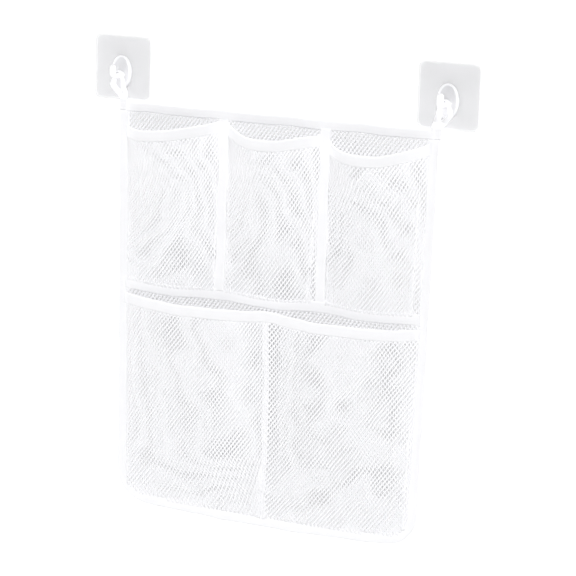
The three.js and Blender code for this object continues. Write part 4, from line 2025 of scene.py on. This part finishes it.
@dataclass
class Studio:
    """The white wall and floor, the soft light and the camera."""

    azimuth: float = 27.523
    elevation: float = 10.37
    roll: float = 1.891
    distance: float = 2507.9
    target: tuple[float, float, float] = (13.35, 0.0, -189.04)
    focal: float = 171.2
    sensor: float = 36.0
    view_limit: float = 100.0
    wall_half: float = 1500.0
    floor_z: float = -900.0
    wall_y: float = 0.8
    world: float = 0.38
    key_level: float = 0.38
    tape_level: float = 0.635
    net_level: float = 0.335
    wall_level: float = 0.81
    wall_white: float = 0.9
    wall_glow: float = 0.12
    key_size: float = 60.0
    soft_turn: float = 60.0
    soft_rise: float = 28.0
    soft_size: float = 3000.0
    wall_way: tuple[float, float] = (27.5, 19.0)
    wall_size: float = 190.0
    lamp_far: float = 8000.0
    lamp_near: float = 1650.0
    near_rise: float = 0.0

    def build(self, pieces: Sequence[bpy.types.Object], tapes: Sequence[bpy.types.Object]) -> None:
        """Makes the stage, the lights and the camera.

        Args:
            pieces: The organizer's pieces.
            tapes: Those of them that are tape, which have lamps of their own and don't shade the wall.
        """
        self._camera()
        white = self._one_sided()
        wide, low, back = self.wall_half, self.floor_z, self.wall_y
        wall = self._plane("studio_wall", white, [
            (-wide, back, low), (wide, back, low), (wide, back, wide), (-wide, back, wide),
        ])
        floor = self._plane("studio_floor", white, [
            (-wide, -wide, low), (wide, -wide, low), (wide, back, low), (-wide, back, low),
        ])
        self._surround()
        stage = [wall, floor]
        key_way = (self.azimuth, self.elevation)
        key = self._lamp("key_light", self.key_level, key_way, self.key_size, self.distance)
        self._link(key, [*stage, *tapes], Linking.SPARES, [])
        wash = self._lamp("wall_light", self.wall_level, self.wall_way, self.wall_size, self.lamp_far)
        self._link(wash, stage, Linking.LIGHTS, tapes)
        rest = [piece for piece in pieces if piece not in tapes]
        for name, level, lit in (("tape", self.tape_level, tapes), ("net", self.net_level, rest)):
            for side in Side:
                near = lit is rest and side is Side.LEFT
                way = (side.value * self.soft_turn, self.near_rise if near else self.soft_rise)
                far = self.lamp_near if near else self.lamp_far
                size = self.soft_size * far / self.lamp_far
                lamp = self._lamp(f"{side.word}_{name}_light", level, way, size, far)
                self._link(lamp, lit, Linking.LIGHTS, pieces)

    @staticmethod
    def _plane(
        name: str, material: bpy.types.Material, corners: Sequence[Sequence[float]],
    ) -> bpy.types.Object:
        """Returns a plane through four corners.

        Args:
            name: The plane's name.
            material: Its material.
            corners: The corners.

        Returns:
            The plane.
        """
        mesh = bpy.data.meshes.new(name)
        mesh.from_pydata((np.array(corners) * MM).tolist(), [], [[0, 1, 2, 3]])
        mesh.materials.append(material)
        plane = bpy.data.objects.new(name, mesh)
        bpy.context.scene.collection.objects.link(plane)
        return plane

    def _one_sided(self) -> bpy.types.Material:
        """Returns the stage's white, which shows from its front alone.

        Returns:
            The material.
        """
        graph = Graph("studio_white")
        colour = (self.wall_white, self.wall_white, self.wall_white, 1.0)
        paint = graph.wire("ShaderNodeBsdfDiffuse", {}, {"Color": colour})
        glow = graph.wire("ShaderNodeEmission", {}, {"Strength": self.wall_glow})
        lit = graph.wire("ShaderNodeAddShader", {}, {0: paint, 1: glow})
        clear = graph.wire("ShaderNodeBsdfTransparent", {}, {})
        behind = graph.wire("ShaderNodeNewGeometry", {}, {}, "Backfacing")
        mixed = graph.wire("ShaderNodeMixShader", {}, {0: behind, 1: lit, 2: clear})
        graph.node("ShaderNodeOutputMaterial", {}, {"Surface": mixed})
        return graph.material

    def _surround(self) -> None:
        """Makes the even white surround."""
        scene = bpy.context.scene
        scene.view_settings.view_transform = "Standard"
        world = bpy.data.worlds.new("studio_surround")
        world.use_nodes = True
        backdrop = world.node_tree.nodes["Background"]
        backdrop.inputs["Color"].default_value = (1.0, 1.0, 1.0, 1.0)
        backdrop.inputs["Strength"].default_value = self.world
        scene.world = world

    def _lamp(
        self, name: str, level: float, way: tuple[float, float], size: float, far: float,
    ) -> bpy.types.Object:
        """Makes a round lamp that shines on the organizer.

        Args:
            name: The lamp's name.
            level: The brightness that it gives a white face turned to it.
            way: The azimuth and elevation of the lamp.
            size: The lamp's diameter.
            far: The lamp's distance.

        Returns:
            The lamp.
        """
        towards = Vector(direction(*way))
        light = bpy.data.lights.new(name, "AREA")
        light.shape = "DISK"
        light.size = size * MM
        light.energy = level * (math.pi * far * MM) ** 2
        lamp = bpy.data.objects.new(name, light)
        lamp.location = Vector(self.target) * MM + towards * far * MM
        lamp.rotation_mode = "QUATERNION"
        lamp.rotation_quaternion = towards.to_track_quat("Z", "Y")
        bpy.context.scene.collection.objects.link(lamp)
        return lamp

    @staticmethod
    def _link(
        lamp: bpy.types.Object, pieces: Sequence[bpy.types.Object], linking: Linking,
        unshading: Sequence[bpy.types.Object],
    ) -> None:
        """Makes a lamp light some pieces alone, or all but them.

        Args:
            lamp: The lamp.
            pieces: The pieces that it lights or spares.
            linking: Which of the two it does.
            unshading: The pieces that cast no shade in its light.
        """
        links = lamp.light_linking
        links.receiver_collection = Studio._group(f"{lamp.name}_pieces", pieces, linking)
        if unshading:
            links.blocker_collection = Studio._group(f"{lamp.name}_unshading", unshading, Linking.SPARES)

    @staticmethod
    def _group(name: str, pieces: Sequence[bpy.types.Object], linking: Linking) -> bpy.types.Collection:
        """Returns a collection of pieces that a lamp lights or spares.

        Args:
            name: The collection's name.
            pieces: The pieces.
            linking: Which of the two it does.

        Returns:
            The collection.
        """
        group = bpy.data.collections.new(name)
        for piece in pieces:
            group.objects.link(piece)
        for member in group.collection_objects:
            member.light_linking.link_state = linking.value
        return group

    def _camera(self) -> None:
        """Makes the camera at the photograph's viewing angle."""
        turn, roll = math.radians(self.azimuth), math.radians(self.roll)
        back = direction(self.azimuth, self.elevation)
        level = np.array([math.cos(turn), math.sin(turn), 0.0])
        above = np.cross(back, level)
        right = level * math.cos(roll) + above * math.sin(roll)
        up = above * math.cos(roll) - level * math.sin(roll)
        eye = (np.array(self.target) + back * self.distance) * MM
        data = bpy.data.cameras.new("photo_camera")
        data.lens = self.focal
        data.sensor_width = self.sensor
        data.clip_end = self.view_limit
        camera = bpy.data.objects.new("photo_camera", data)
        pose = Matrix.Identity(4)
        for row in range(3):
            pose[row][0], pose[row][1], pose[row][2] = right[row], up[row], back[row]
            pose[row][3] = eye[row]
        camera.matrix_world = pose
        bpy.context.scene.collection.objects.link(camera)
        bpy.context.scene.camera = camera


def main() -> None:
    """Builds the organizer and its studio."""
    logging.basicConfig(level=logging.INFO, format="%(message)s")
    finishes = Finishes()
    bag = BagShape()
    for side in Side:
        WallHook(side).build(finishes)
        HangingLoop(side, bag).build(finishes)
    BackPanel(bag).build(finishes)
    Bindings(bag).build(finishes)
    UpperPockets(bag).build(finishes)
    LowerPockets(bag).build(finishes)
    sewn = (finishes.tape, finishes.stitch)
    made = (*sewn, finishes.seam, finishes.net, finishes.hook, finishes.pad, finishes.adhesive)
    dressed = [piece for piece in bpy.data.objects if piece.type == "MESH" and piece.data.materials]
    pieces = [piece for piece in dressed if piece.data.materials[0] in made]
    tapes = [piece for piece in pieces if piece.data.materials[0] in sewn and "seam" not in piece.name]
    Studio().build(pieces, tapes)


if __name__ == "__main__":
    main()
